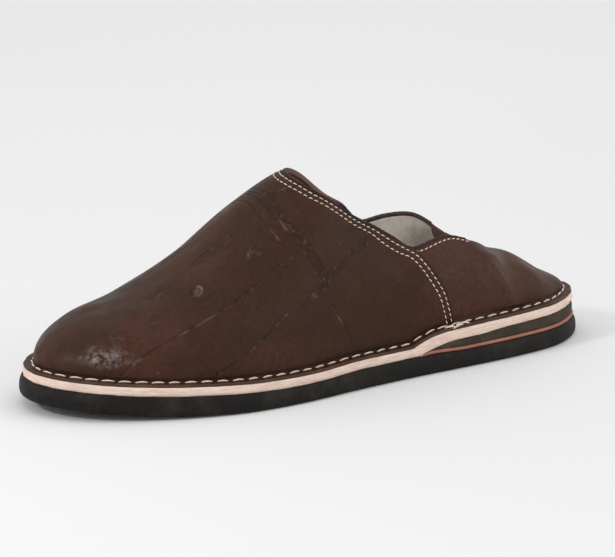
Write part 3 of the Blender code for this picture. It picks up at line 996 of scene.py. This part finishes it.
def pale_edge():
    """Undyed leather edge: pressed fibres in layers, a little grubby."""
    made, tree, place = new_material("Undyed midsole leather")
    layers = noise(tree, stretched(tree, place, (0.25, 0.25, 3.2)), 420.0, 5.0, 0.7)
    blotch = noise(tree, place, 55.0, 4.0, 0.65)
    colour = blend_colours(tree, remap(tree, layers, 0.35, 0.72, 0.0, 0.75), PALE_LEATHER, FIBRE)
    colour = blend_colours(tree, remap(tree, blotch, 0.48, 0.75, 0.0, 0.45), colour, GRUBBY)
    fuzz = noise(tree, place, 1400.0, 3.0, 0.7)
    height = maths(tree, "MULTIPLY_ADD", layers, 1.0, maths(tree, "MULTIPLY", fuzz, 0.5))
    set_surface(tree, colour, 0.85, 0.25, bump(tree, height, 0.0005, 0.7))
    return made


def moulded(name, colour, lighter, roughness, scale):
    """Dull rubber, foam or cut edge with a fine tooth and dusty patches."""
    made, tree, place = new_material(name)
    dust = remap(tree, noise(tree, place, 60.0, 5.0, 0.7), 0.42, 0.75, 0.0, 0.8)
    specks = remap(tree, noise(tree, place, 700.0, 2.0, 0.5), 0.70, 0.78, 0.0, 0.5)
    mixed = blend_colours(tree, dust, colour, lighter)
    mixed = blend_colours(tree, specks, mixed, lighter)
    tooth = noise(tree, place, scale, 4.0, 0.65)
    set_surface(tree, mixed, roughness, 0.15, bump(tree, tooth, 0.0003, 0.55))
    return made


def thread():
    """Waxed cream thread with a twisted lay."""
    made, tree, place = new_material("Cream waxed thread")
    lay = noise(tree, stretched(tree, place, (1.0, 1.0, 1.6)), 1500.0, 3.0, 0.6)
    colour = blend_colours(tree, remap(tree, lay, 0.35, 0.7, 0.0, 0.6), CREAM, WAXED)
    set_surface(tree, colour, 0.6, 0.5, bump(tree, lay, 0.0003, 0.6))
    return made


def floor_finish():
    made, tree, place = new_material("Studio floor")
    drift = noise(tree, place, 0.8, 2.0, 0.5)
    colour = blend_colours(tree, remap(tree, drift, 0.3, 0.7), FLOOR_GREY, PALE_FLOOR)
    set_surface(tree, colour, 0.9, 0.1)
    return made


def column_turns():
    """Turns of the upper's columns, closest together where the vamp laps over."""
    even = np.arange(0, 360, UPPER_STEP)
    steps = np.array([-0.12, 0.0, 0.02, 0.06, 0.12, 0.20, 0.30, 0.42])
    laps = np.concatenate([OUTER_LAP + steps, INNER_LAP - steps])
    gap = np.abs(even[:, None] - laps[None, :]).min(axis=1)
    return np.sort(np.concatenate([even[gap > 0.25 * UPPER_STEP], laps]))


def edge_distances(turns, shares, top):
    """Distance from the collar edge, or the lap edge if that is nearer."""
    by_turn = wall_frame(turns, np.minimum(shares, 1.0))[1]
    below = (top - shares) * rise_rate(turns)
    inside = inside_lap(turns)
    beside = inside * np.linalg.norm(by_turn, axis=1)
    return np.where(inside >= 0, np.minimum(below, np.maximum(beside, 0)), below)


def foot_bend(turns, wall_start, share):
    """A point of the rounded bend between the flange and the wall."""
    flange = flat_ring(np.radians(turns), FOOT_FILLET - CREASE_INSET, flange_top)
    crease = flat_ring(np.radians(turns), -CREASE_INSET, flange_top)
    return (1 - share) ** 2 * flange + 2 * share * (1 - share) * crease + share**2 * wall_start


def wander(angles, waves):
    """How far a hand-made edge strays, as a sum of small waves."""
    return sum(height * np.sin(count * angles + phase) for height, count, phase in waves)


def pucker(turns):
    """The flange pressed down under each welt stitch."""
    path = outline(np.radians(turns), -WELT_INSET)
    closed = np.vstack([path, path[:1]])
    run = np.concatenate([[0.0], np.cumsum(np.linalg.norm(np.diff(closed, axis=0), axis=1))])[:-1]
    return 0.5 - 0.5 * np.cos(2 * np.pi * run / WELT_PITCH)


def flange_rings(turns):
    """Rings of the flange from under its edge, over the top and in to the bend."""
    angle = np.radians(turns)
    wave = wander(angle, FLANGE_WAVES)
    press = pucker(turns)
    profile = (
        # inset, share of the thickness, pressed
        (0.0012, 0.00, 0.0),
        (FLANGE_MARGIN + 0.0002, 0.00, 0.0),
        (FLANGE_MARGIN, 0.25, 0.0),
        (FLANGE_MARGIN, 0.70, 0.0),
        (FLANGE_MARGIN + 0.0003, 0.95, 0.1),
        (FLANGE_MARGIN + 0.0010, 1.00, 0.3),
        (WELT_INSET - 0.0015, 0.98, 0.7),
        (WELT_INSET - 0.0007, 0.92, 1.0),
    )
    rings = []
    for inset, share, pressed in profile:
        ring = flat_ring(angle, wave - inset, flange_bottom)
        ring[:, 2] += share * FLANGE_THICKNESS - pressed * press * FLANGE_PRESS
        rings.append(ring)
    return rings


def inner_levels(turns, top):
    """Shares of the inner rows from the edge down, and the wall's thickness at each."""
    rim = (
        # below the edge, share of the thickness
        (0.0000, 0.72),
        (0.0012, 0.72),
        (RIM_DEPTH, 0.74),
        (0.0021, 0.96),
        (0.0025, 1.08),
        (0.0034, 1.04),
    )
    rate = rise_rate(turns)
    rows = [(top - below / rate, thick) for below, thick in rim]
    facing = np.linspace(rim[-1][0], FACING_DEPTH, FACING_ROWS)[1:]
    rows += [(top - below / rate, 1.0) for below in facing]
    last = rows[-1][0]
    rows += [(last + (WALL_START - last) * share, 1.0) for share in np.linspace(0.0, 1.0, INNER_ROWS)[1:]]
    return rows


def edge_places(turns, level, top):
    """What the map of edges holds: metres from the edge and roughly from the crease."""
    return np.column_stack([edge_distances(turns, level, top), level * WALL_SPAN])


def outer_rows(turns, top):
    """Rows of the wall's outer face from its foot to its edge, each with its two maps."""
    rows = []
    for share in np.linspace(0.0, 1.0, OUTER_ROWS) ** 1.15:
        level = WALL_START + (top - WALL_START) * share
        points, outward, places = leather_wall(turns, level)
        pressed = WALL_PRESS * pucker(turns) * (1 - ease(0.0, 0.10, level))
        rows.append((points - outward * pressed[:, None], places, edge_places(turns, level, top)))
    return rows


def inner_rows(turns, top):
    """Rows of the wall's inner face from its edge down, each with its two maps."""
    rows = []
    for level, thickness in inner_levels(turns, top):
        points, outward, places = leather_wall(turns, level, INNER_SOFTNESS)
        thick = (WALL + lap_height(turns) * ease(0.0, 0.03, level)) * thickness
        rows.append((points - outward * thick[:, None], places, edge_places(turns, level, top)))
    return rows


def upper_slots(turns, foot_rows, rows):
    """The finish of each face, row by row: cut edge, outside, turned edge, facing and lining."""
    count = len(turns)
    on_vamp = (turns >= OUTER_LAP) & (turns < INNER_LAP)
    outside = np.where(on_vamp, VAMP, QUARTER).tolist()
    facing = np.where(on_vamp, FACING, LINING).tolist()
    edge = foot_rows + OUTER_ROWS
    slots = []
    for row in range(rows):
        if row in (1, 2, 3):
            slots += [CUT] * count
        elif row < edge:
            slots += outside
        elif row < edge + 2:
            slots += [TURNED] * count
        elif row < edge + 4 + FACING_ROWS:
            slots += facing
        else:
            slots += [LINING] * count
    return slots


def add_upper(finishes):
    """Vamp, quarter and lining as one hollow wall with a turned-out flange."""
    turns = column_turns()
    count = len(turns)
    top = collar_top(turns)
    outside = outer_rows(turns, top)
    inside = inner_rows(turns, top)
    wall_start, start_chart, start_edge = outside[0]
    bend = [foot_bend(turns, wall_start, share) for share in (0.0, 0.2, 0.4, 0.6, 0.8)]
    foot = [(ring, start_chart, start_edge * (1, 0)) for ring in flange_rings(turns) + bend]
    last = flat_ring(np.radians(turns), -CREASE_INSET - WALL, flange_bottom)
    rows = foot + outside + inside + [(last, *inside[-1][1:])]
    points, charts, edges = (np.concatenate(part) for part in zip(*rows))
    faces = []
    for row in range(len(rows)):
        faces += bridge(count, count * row, count * ((row + 1) % len(rows)))
    slots = upper_slots(turns, len(foot), len(rows))
    piece = piece_mesh("leather_upper", points, faces, finishes, slots, {"chart": charts, "edges": edges})
    finish_piece(piece, "brown_leather", "upper")


def squared(wave):
    """A sine or cosine made fuller, so that a bead is a little squarer than a tube."""
    return np.sign(wave) * abs(wave) ** 0.75


def bead(name, turns, lap, made_of, node):
    """A folded edge that rolls over the top of the wall."""
    low, high = 0.0006, SEAT_GAP + BEAD_HEIGHT
    grid, outward, rise = folded_wall(turns, collar_top(turns))
    grid = grid + outward * lap_height(turns)[:, None] - rise * TURNED_EDGE
    spread = np.sin(np.linspace(0, np.pi, len(turns))) ** 0.15
    thick = WALL + 0.3 * lap
    tall = (high - low) / 2 + wander(turns, BEAD_WAVES)
    middle = grid - outward * (thick / 2) + rise * (low + high) / 2
    rings = []
    for side in range(BEAD_SIDES):
        angle = 2 * np.pi * (side + 0.5) / BEAD_SIDES
        across = (thick / 2 + 0.0004) * squared(np.cos(angle)) * spread
        upward = tall * squared(np.sin(angle))
        rings.append(middle + (outward * across[:, None] + rise * upward[:, None]))
    points = np.stack(rings, axis=1)
    faces = []
    for i in range(len(points) - 1):
        faces += bridge(BEAD_SIDES, BEAD_SIDES * i, BEAD_SIDES * (i + 1))
    last = BEAD_SIDES * (len(points) - 1)
    faces += [tuple(range(BEAD_SIDES)), tuple(range(last, last + BEAD_SIDES))]
    piece = piece_mesh(name, points.reshape(-1, 3), faces, [made_of])
    finish_piece(piece, "binding_leather", node)


def add_bindings(made_of):
    vamp_turns = np.linspace(OUTER_LAP + 0.4, INNER_LAP - 0.4, 300)
    quarter_turns = np.linspace(INNER_LAP - 360 - 1, OUTER_LAP + 1, 220)
    bead("vamp_edge", vamp_turns, LAP, made_of, "vamp_binding")
    bead("quarter_edge", quarter_turns, 0.0, made_of, "quarter_binding")


def sole_turns():
    return np.arange(SOLE_POINTS) * 2 * np.pi / SOLE_POINTS


def layer_heights(bottom, top):
    """For a share of a layer's height, the function of y that gives that height."""
    return lambda share: lambda y: bottom(y) + share * (top(y) - bottom(y))


def midsole_seat(y):
    """The dressed midsole's underside, with most of its gap closed."""
    return midsole_bottom(y) - SEAT_GAP * 0.8


def add_midsole(made_of):
    """Leather midsole with a trimmed, slightly rounded edge."""
    turns = sole_turns()
    height = layer_heights(midsole_seat, lambda y: flange_bottom(y) - HAIRLINE)
    side = (
        # outset, share of the height
        (-0.0020, 0.0),
        (-0.0004, 0.0),
        (0.0000, 0.12),
        (0.0001, 0.35),
        (0.0001, 0.62),
        (0.0000, 0.86),
        (-0.0003, 1.0),
        (-0.0020, 1.0),
    )
    trim = wander(turns, MIDSOLE_WAVES)
    rings = [flat_ring(turns, outset + trim, height(share)) for outset, share in side]
    faces = ring_faces(SOLE_POINTS, len(rings), rungs)
    piece = piece_mesh("leather_midsole", np.concatenate(rings), faces, [made_of])
    finish_piece(piece, "natural_leather", "midsole")


def heel_turns(front):
    """Turns from the heel to a share of the length on the outer side, then back on the inner."""
    reach = turn_of(front)
    outer = np.linspace(0, reach, HEEL_POINTS)
    return np.concatenate([outer, np.linspace(-reach, 0, HEEL_POINTS)[:-1]])


def heel_layer(name, front, bottom, top, side, made_of, slot, node):
    """A layer that runs from the heel and thins out to nothing in front."""
    turns = heel_turns(front)
    height = layer_heights(bottom, top)
    rings = [flat_ring(turns, outset, height(share)) for outset, share in side]
    faces = ring_faces(len(turns), len(rings), heel_rungs)
    piece = piece_mesh(name, np.concatenate(rings), faces, [made_of])
    finish_piece(piece, slot, node)


def rand_top(y):
    return rubber_top(y) + np.clip(wedge_lift(y), HAIRLINE, RAND_THICKNESS + 0.0002)


def wedge_top(y):
    return np.maximum(midsole_seat(y), rand_top(y) + 0.00004)


def add_heel_layers(rand_finish, wedge_finish):
    """The terracotta line and the foam wedge between the outsole and the midsole."""
    rand_side = (
        # outset, share of the height
        (-0.0004, 0.00),
        (0.0004, 0.12),
        (0.0007, 0.40),
        (0.0007, 0.65),
        (0.0003, 0.95),
        (-0.0003, 1.00),
    )
    wedge_side = (
        # outset, share of the height
        (-0.0006, 0.00),
        (-0.0001, 0.06),
        (0.0001, 0.30),
        (0.0000, 0.60),
        (-0.0003, 0.92),
        (-0.0008, 1.00),
    )
    rand = ("rand_strip", RAND_NOSE, rubber_top, rand_top, rand_side, rand_finish)
    wedge = ("foam_wedge", WEDGE_NOSE, rand_top, wedge_top, wedge_side, wedge_finish)
    heel_layer(*rand, "terracotta_line", "rand_line")
    heel_layer(*wedge, "charcoal_wedge", "heel_wedge")


def add_insole(made_of):
    """Suede sock that fills the shoe from wall to wall, with a softly rounded edge."""
    turns = sole_turns()
    side = (
        # inset from the wall, share of the thickness
        (0.0000, 0.00),
        (0.0000, 0.70),
        (0.0008, 1.00),
        (0.0040, 1.02),
    )
    rings = []
    for inset, share in side:
        ring = flat_ring(turns, -(CREASE_INSET + WALL) - inset, flange_bottom)
        ring[:, 2] += share * INSOLE_THICKNESS
        rings.append(ring)
    faces = ring_faces(SOLE_POINTS, len(rings), rungs)
    piece = piece_mesh("suede_sock", np.concatenate(rings), faces, [made_of])
    finish_piece(piece, "sock_leather", "insole")


def groove_places():
    """Distances along Y of the grooves between the lugs."""
    places = []
    for start, end in (HEEL_LUGS, FOREFOOT_LUGS):
        count = int((end - start) * SOLE_LENGTH / LUG_PITCH)
        first = (0.5 - start) * SOLE_LENGTH
        places += [first - LUG_PITCH * step for step in range(count + 1)]
    return places


def groove_bar(y, rim, width, depth):
    """Corners of one bar across the underside, between rims of a given width."""
    loop = outline(fine_round(), -rim)
    near = loop[np.abs(loop[:, 1] - y) < width / 2, 0]
    corners = []
    for x in (near[near < 0].max(), near[near > 0].min()):
        for side in (-1, 1):
            edge = y + side * width / 2
            base = sole_bottom(edge)
            corners.append((x, edge + side * 0.0008, base - 0.01))
            corners.append((x, edge - side * 0.0006, base + depth))
    return corners


def groove_cutter():
    """All grooves of the tread as one cutting mesh, with small notches at the toe's edge."""
    bars = [groove_bar(y, GROOVE_RIM, GROOVE_WIDTH, GROOVE_DEPTH) for y in groove_places()]
    notched = [y for y in groove_places() if TOE_NOTCHES[0] < along_of(y) < TOE_NOTCHES[1]]
    bars += [groove_bar(y, -NOTCH_REACH, NOTCH_WIDTH, NOTCH_DEPTH) for y in notched]
    box = [(0, 1, 3, 2), (4, 5, 7, 6), (0, 1, 5, 4), (2, 3, 7, 6), (1, 3, 7, 5), (0, 2, 6, 4)]
    faces = [tuple(8 * bar + i for i in face) for bar in range(len(bars)) for face in box]
    return piece_mesh("groove_cutter", np.concatenate(bars), faces, [])


def add_outsole(made_of):
    """Rubber outsole with a rounded edge and lugs under the ball and the heel."""
    turns = sole_turns()
    height = layer_heights(sole_bottom, lambda y: rubber_top(y) + SEAT_GAP * 0.1)
    side = (
        # outset, share of the height
        (OUTSOLE_BULGE - 1.9 * EDGE_ROUND, 0.0),
        (OUTSOLE_BULGE - EDGE_ROUND, 0.0),
        (OUTSOLE_BULGE - 0.62 * EDGE_ROUND, 0.018),
        (OUTSOLE_BULGE - 0.30 * EDGE_ROUND, 0.07),
        (OUTSOLE_BULGE - 0.10 * EDGE_ROUND, 0.15),
        (OUTSOLE_BULGE, 0.27),
        (OUTSOLE_BULGE, 0.42),
        (0.96 * OUTSOLE_BULGE, 0.58),
        (0.84 * OUTSOLE_BULGE, 0.72),
        (0.62 * OUTSOLE_BULGE, 0.86),
        (0.40 * OUTSOLE_BULGE, 0.95),
        (0.12 * OUTSOLE_BULGE, 1.0),
    )
    rings = [flat_ring(turns, outset, height(share)) for outset, share in side]
    faces = ring_faces(SOLE_POINTS, len(rings), rungs)
    body = piece_mesh("outsole_blank", np.concatenate(rings), faces, [made_of])
    cutter = groove_cutter()
    cut = body.modifiers.new("Lugs", "BOOLEAN")
    cut.operation = "DIFFERENCE"
    cut.object = cutter
    cut.use_self = True
    mesh = baked(body, "rubber_outsole")
    bpy.data.objects.remove(cutter, do_unlink=True)
    mesh.set_sharp_from_angle(angle=np.radians(40))
    finish_piece(add_piece("rubber_outsole", mesh), "black_rubber", "outsole")


def baked(carrier, name):
    """The carrier's evaluated mesh as a plain one; the carrier and its modifiers go."""
    graph = bpy.context.evaluated_depsgraph_get()
    mesh = bpy.data.meshes.new_from_object(carrier.evaluated_get(graph))
    mesh.name = name
    bpy.data.objects.remove(carrier, do_unlink=True)
    return mesh


def one_stitch(tree, length, radius, rise):
    """A thread that arches out of the leather and back, thickest in its middle."""
    half = maths(tree, "MULTIPLY", length, 0.5)
    back = maths(tree, "MULTIPLY", half, -1.0)
    dip = maths(tree, "MULTIPLY", radius, -1.0)
    start = add_node(tree, "CombineXYZ", {0: back, 2: dip}).outputs[0]
    middle = add_node(tree, "CombineXYZ", {2: rise}).outputs[0]
    end = add_node(tree, "CombineXYZ", {0: half, 2: dip}).outputs[0]
    bow = {"Resolution": THREAD_STEPS, "Start": start, "Middle": middle, "End": end}
    arch = add_step(tree, "GeometryNodeCurveQuadraticBezier", bow).outputs[0]
    along = add_step(tree, "GeometryNodeSplineParameter").outputs["Factor"]
    swell = maths(tree, "SINE", maths(tree, "MULTIPLY", along, np.pi))
    girth = add_node(tree, "MapRange", {"Value": swell, "To Min": 0.55, "To Max": 1.0}).outputs[0]
    circle = {"Resolution": THREAD_SIDES, "Radius": radius}
    profile = add_step(tree, "GeometryNodeCurvePrimitiveCircle", circle).outputs[0]
    inputs = {"Curve": arch, "Profile Curve": profile, "Scale": girth, "Fill Caps": True}
    return add_step(tree, "GeometryNodeCurveToMesh", inputs).outputs[0]


def random_vector(tree, low, high, seed):
    """A vector for each stitch, drawn between two others."""
    inputs = {"Min": low, "Max": high, "Seed": seed}
    return add_step(tree, "FunctionNodeRandomValue", inputs, data_type="FLOAT_VECTOR").outputs[0]


def stitch_turn(tree, tangent, slant, seed):
    """The rotation of each stitch: along the path, facing outward and a little astray."""
    named = {"Name": "outward"}
    outward = add_step(tree, "GeometryNodeInputNamedAttribute", named, data_type="FLOAT_VECTOR").outputs[0]
    align = "FunctionNodeAlignRotationToVector"
    run = add_step(tree, align, {"Vector": tangent}, axis="X").outputs[0]
    inputs = {"Rotation": run, "Vector": outward}
    facing = add_step(tree, align, inputs, axis="Z", pivot_axis="X").outputs[0]
    astray = random_vector(tree, (0, 0, -0.06), (0, 0, 0.06), seed)
    lean = add_node(tree, "CombineXYZ", {2: slant}).outputs[0]
    tilt = vector_maths(tree, "ADD", lean, astray)
    twist = add_step(tree, "FunctionNodeEulerToRotation", {"Euler": tilt}).outputs[0]
    inputs = {"Rotation": facing, "Rotate By": twist}
    return add_step(tree, "FunctionNodeRotateRotation", inputs, rotation_space="LOCAL").outputs[0]


def stitch_tree():
    """Geometry nodes that lay stitches at a pitch along a path, each facing outward."""
    tree = bpy.data.node_groups.new("Stitch row", "GeometryNodeTree")
    add_sockets(tree, ("Geometry",), "Geometry")
    add_sockets(tree, ("Pitch", "Length", "Radius", "Rise", "Slant"), "Float")
    add_sockets(tree, ("Thread",), "Material")
    add_sockets(tree, ("Seed",), "Int")
    add_sockets(tree, ("Geometry",), "Geometry", "OUTPUT")
    inside = tree.nodes.new("NodeGroupInput").outputs
    path = add_step(tree, "GeometryNodeMeshToCurve", {"Mesh": inside["Geometry"]}).outputs[0]
    inputs = {"Curve": path, "Length": inside["Pitch"]}
    spots = add_step(tree, "GeometryNodeCurveToPoints", inputs, mode="LENGTH").outputs
    turned = stitch_turn(tree, spots["Tangent"], inside["Slant"], inside["Seed"])
    size = random_vector(tree, (0.90, 0.9, 0.9), (1.06, 1.1, 1.1), inside["Seed"])
    stitch = one_stitch(tree, inside["Length"], inside["Radius"], inside["Rise"])
    inputs = {"Points": spots["Points"], "Instance": stitch, "Rotation": turned, "Scale": size}
    row = add_step(tree, "GeometryNodeInstanceOnPoints", inputs).outputs[0]
    real = add_step(tree, "GeometryNodeRealizeInstances", {"Geometry": row}).outputs[0]
    smooth = add_step(tree, "GeometryNodeSetShadeSmooth", {"Geometry": real}).outputs[0]
    inputs = {"Geometry": smooth, "Material": inside["Thread"]}
    finished = add_step(tree, "GeometryNodeSetMaterial", inputs).outputs[0]
    tree.links.new(finished, tree.nodes.new("NodeGroupOutput").inputs[0])
    return tree


def path_carrier(name, points, outward, closed):
    """A line of edges that remembers which way is out of the leather."""
    edges = [(i, i + 1) for i in range(len(points) - 1)]
    if closed:
        edges.append((len(points) - 1, 0))
    mesh = bpy.data.meshes.new(name)
    mesh.from_pydata((points + SIDE_SHIFT).tolist(), edges, [])
    layer = mesh.attributes.new("outward", "FLOAT_VECTOR", "POINT")
    layer.data.foreach_set("vector", np.asarray(outward, np.float32).ravel())
    return add_piece(name + "_path", mesh)


def stitch_row(name, tree, finish, path, outward, sizes, closed=False, seed=1):
    """A row of stitches along a path, as one plain mesh."""
    carrier = path_carrier(name, path, outward, closed)
    modifier = carrier.modifiers.new("Stitches", "NODES")
    modifier.node_group = tree
    values = {**sizes, "Thread": finish, "Seed": seed}
    for item in tree.interface.items_tree:
        if item.item_type == "SOCKET" and item.in_out == "INPUT" and item.name in values:
            modifier[item.identifier] = values[item.name]
    mesh = baked(carrier, name)
    finish_piece(add_piece(name, mesh), "natural_leather")


def vamp_edge_path():
    """Turns and shares along the vamp's free edge: up one lap, round the collar, down the other."""
    climb = np.linspace(0.035, 0.985, 60)
    out_side = np.column_stack([np.full_like(climb, OUTER_LAP), climb])
    collar_turns = np.linspace(OUTER_LAP, INNER_LAP, 400)[1:-1]
    collar = np.column_stack([collar_turns, over_edge(collar_turns, TURNED_EDGE)])
    in_side = np.column_stack([np.full_like(climb, INNER_LAP), climb[::-1]])
    return np.concatenate([out_side, collar, in_side])


def steps_inward(turns, shares):
    """Points of the wall and the turn and share that lead one metre in from the path."""
    points, by_turn, by_share = wall_frame(turns, shares)
    outward = unit(np.cross(by_share, by_turn))
    ahead = unit(np.gradient(smoothed(points, 9), axis=0))
    inward = np.cross(outward, ahead)
    along, across = (inward * by_turn).sum(axis=1), (inward * by_share).sum(axis=1)
    tt, ss = (by_turn**2).sum(axis=1), (by_share**2).sum(axis=1)
    ts = (by_turn * by_share).sum(axis=1)
    area = tt * ss - ts**2
    return points, (along * ss - across * ts) / area, (across * tt - along * ts) / area


def inward_path(path, distance):
    """The path moved in from the edge by a distance, on the leather."""
    turns, shares = path.T
    points, turn_step, share_step = steps_inward(turns, shares)
    moved = np.column_stack([turns + turn_step * distance, shares + share_step * distance])
    places = bare_wall(moved[:, 0], moved[:, 1])[1]
    nearest = np.linalg.norm(places[:, None] - points[None], axis=2).min(axis=1)
    kept = np.abs(nearest / distance - 1) < 0.08
    steps = np.linalg.norm(np.diff(places[kept], axis=0), axis=1)
    run = np.concatenate([[0.0], np.cumsum(steps)])
    even = np.linspace(0.0, run[-1], len(path))
    spread = np.column_stack([np.interp(even, run, column) for column in moved[kept].T])
    return smoothed(spread, 15)


def smoothed(values, width):
    """Each row replaced by the mean of itself and its neighbours."""
    half = width // 2
    padded = np.concatenate([values[:1]] * half + [values] + [values[-1:]] * half)
    window = [padded[i : i + len(values)] for i in range(width)]
    return np.mean(window, axis=0)


def surface_row(path, lift):
    points, outward, _ = leather_wall(path[:, 0], path[:, 1])
    return points + outward * lift, outward


def add_vamp_rows(tree, finish):
    """Two rows beside the vamp's free edge."""
    edge = vamp_edge_path()
    for name, distance, seed in (("first_row", FIRST_ROW, 3), ("second_row", SECOND_ROW, 5)):
        points, outward = surface_row(inward_path(edge, distance), THREAD_LIFT)
        stitch_row(name, tree, finish, points, outward, FINE_THREAD, seed=seed)


def add_quarter_rows(tree, finish):
    """A row under the quarter's edge on each side, as far as the folded back."""
    for name, first, last in (("quarter_row", -8, OUTER_LAP), ("inner_quarter_row", INNER_LAP - 360, -38)):
        turns = np.linspace(first, last, 260)
        shares = collar_top(turns) - QUARTER_ROW / rise_rate(turns)
        points, outward = surface_row(np.column_stack([turns, shares]), THREAD_LIFT)
        stitch_row(name, tree, finish, points, outward, FINE_THREAD, seed=7)


def add_facing_row(tree, finish):
    """The row that shows on the facing inside the vamp."""
    turns = np.linspace(OUTER_LAP + 4, INNER_LAP - 4, 300)
    points, outward, _ = leather_wall(turns, over_edge(turns, TURNED_EDGE - FACING_ROW))
    thick = WALL + lap_height(turns)
    points = points - outward * (thick + THREAD_LIFT)[:, None]
    stitch_row("facing_row", tree, finish, points, -outward, FINE_THREAD, seed=9)


def add_welt_row(tree, finish):
    """The thick row that holds the flange to the midsole, leaning outwards."""
    turns = np.radians(np.linspace(0, 360, FINE_ROUND, endpoint=False))
    points = flat_ring(turns, -WELT_INSET, flange_top) + np.array([0, 0, WELT_LIFT])
    away = outline(turns, 1.0) - outline(turns)
    outward = unit(np.column_stack([away, np.full(FINE_ROUND, WELT_LEAN)]))
    stitch_row("welt_row", tree, finish, points, outward, WELT_THREAD, closed=True, seed=11)


def add_thread_ends(tree, finish):
    """Loose strands where the welt thread was finished off."""
    outward = np.array([(0.6, 0, 1.0)] * 2)
    for number, (turn, inset, slant, length) in enumerate(THREAD_ENDS, 1):
        turns = np.radians(np.array([turn, turn + 1.0]))
        points = flat_ring(turns, -inset, flange_top) + np.array([0, 0, LOOSE_LIFT])
        strand = {**LOOSE_THREAD, "Length": length, "Slant": slant}
        stitch_row(f"thread_end_{number}", tree, finish, points, outward, strand, seed=number)


def add_stitching(finish):
    tree = stitch_tree()
    for add_rows in (add_vamp_rows, add_quarter_rows, add_facing_row, add_welt_row, add_thread_ends):
        add_rows(tree, finish)


def add_floor(finish):
    mesh = bpy.data.meshes.new("studio_floor")
    corners = [(x * FLOOR_HALF, y * FLOOR_HALF, 0.0) for x, y in ((-1, -1), (1, -1), (1, 1), (-1, 1))]
    mesh.from_pydata(corners, [], [(0, 1, 2, 3)])
    mesh.materials.append(finish)
    floor = add_piece("studio_floor", mesh)


def facing_matrix(place, target, roll=0.0):
    """A matrix at a place that looks at the target."""
    back = (Vector(place) - Vector(target)).normalized()
    side = Vector((0, 0, 1)).cross(back).normalized()
    above = back.cross(side)
    tilted = np.cos(roll) * side + np.sin(roll) * above
    over = np.cos(roll) * above - np.sin(roll) * side
    return Matrix.Translation(Vector(place)) @ Matrix((tilted, over, back)).transposed().to_4x4()


def add_camera():
    """The camera of the picture: a long lens, a little above the shoe's outer side."""
    azimuth, height = np.radians(CAMERA_AZIMUTH), np.radians(CAMERA_HEIGHT)
    level = np.cos(height)
    back = Vector((np.sin(azimuth) * level, -np.cos(azimuth) * level, np.sin(height)))
    target = Vector(CAMERA_TARGET)
    data = bpy.data.cameras.new("camera")
    data.sensor_width = SENSOR_WIDTH
    data.lens = SENSOR_WIDTH * FOCAL_LENGTH / PICTURE_WIDTH
    camera = bpy.data.objects.new("camera", data)
    place = target + back * CAMERA_DISTANCE
    camera.matrix_world = facing_matrix(place, target, np.radians(CAMERA_ROLL))
    bpy.context.scene.collection.objects.link(camera)
    bpy.context.scene.camera = camera


def add_lamp(name, place, target, size, power):
    data = bpy.data.lights.new(name, "AREA")
    data.shape = "RECTANGLE"
    data.size, data.size_y = size
    data.energy = power
    lamp = bpy.data.objects.new(name, data)
    lamp.matrix_world = facing_matrix(place, target)
    bpy.context.scene.collection.objects.link(lamp)


def add_light():
    """Soft studio light: a wide panel overhead, one at each end of the shoe, and a pale room."""
    for lamp in LAMPS:
        add_lamp(*lamp)
    room = bpy.data.worlds.new("room")
    room.use_nodes = True
    sky = room.node_tree.nodes["Background"]
    sky.inputs["Color"].default_value = (1.0, 1.0, 1.0, 1.0)
    sky.inputs["Strength"].default_value = ROOM_LIGHT
    bpy.context.scene.world = room
    bpy.context.scene.view_settings.view_transform = "Standard"


def main():
    vamp = brown_leather("Tooled vamp leather", BROWN, tooled=True)
    quarter = brown_leather("Soft quarter leather", SOFT_BROWN)
    facing = brown_leather("Collar facing leather", FACING_BROWN)
    lining = suede()
    edge = edge_leather()
    add_outsole(moulded("Black rubber", RUBBER, DUSTY_RUBBER, 0.62, 520.0))
    add_heel_layers(
        moulded("Terracotta rubber", TERRACOTTA, DUSTY_TERRACOTTA, 0.6, 600.0),
        moulded("Charcoal foam", CHARCOAL, DUSTY_CHARCOAL, 0.8, 900.0),
    )
    add_midsole(pale_edge())
    cut_edge = moulded("Cut leather edge", RAW_EDGE, DUSTY_EDGE, 0.8, 900.0)
    add_upper([vamp, quarter, lining, facing, edge, cut_edge])
    add_bindings(edge)
    add_insole(lining)
    add_stitching(thread())
    add_floor(floor_finish())
    add_camera()
    add_light()


main()
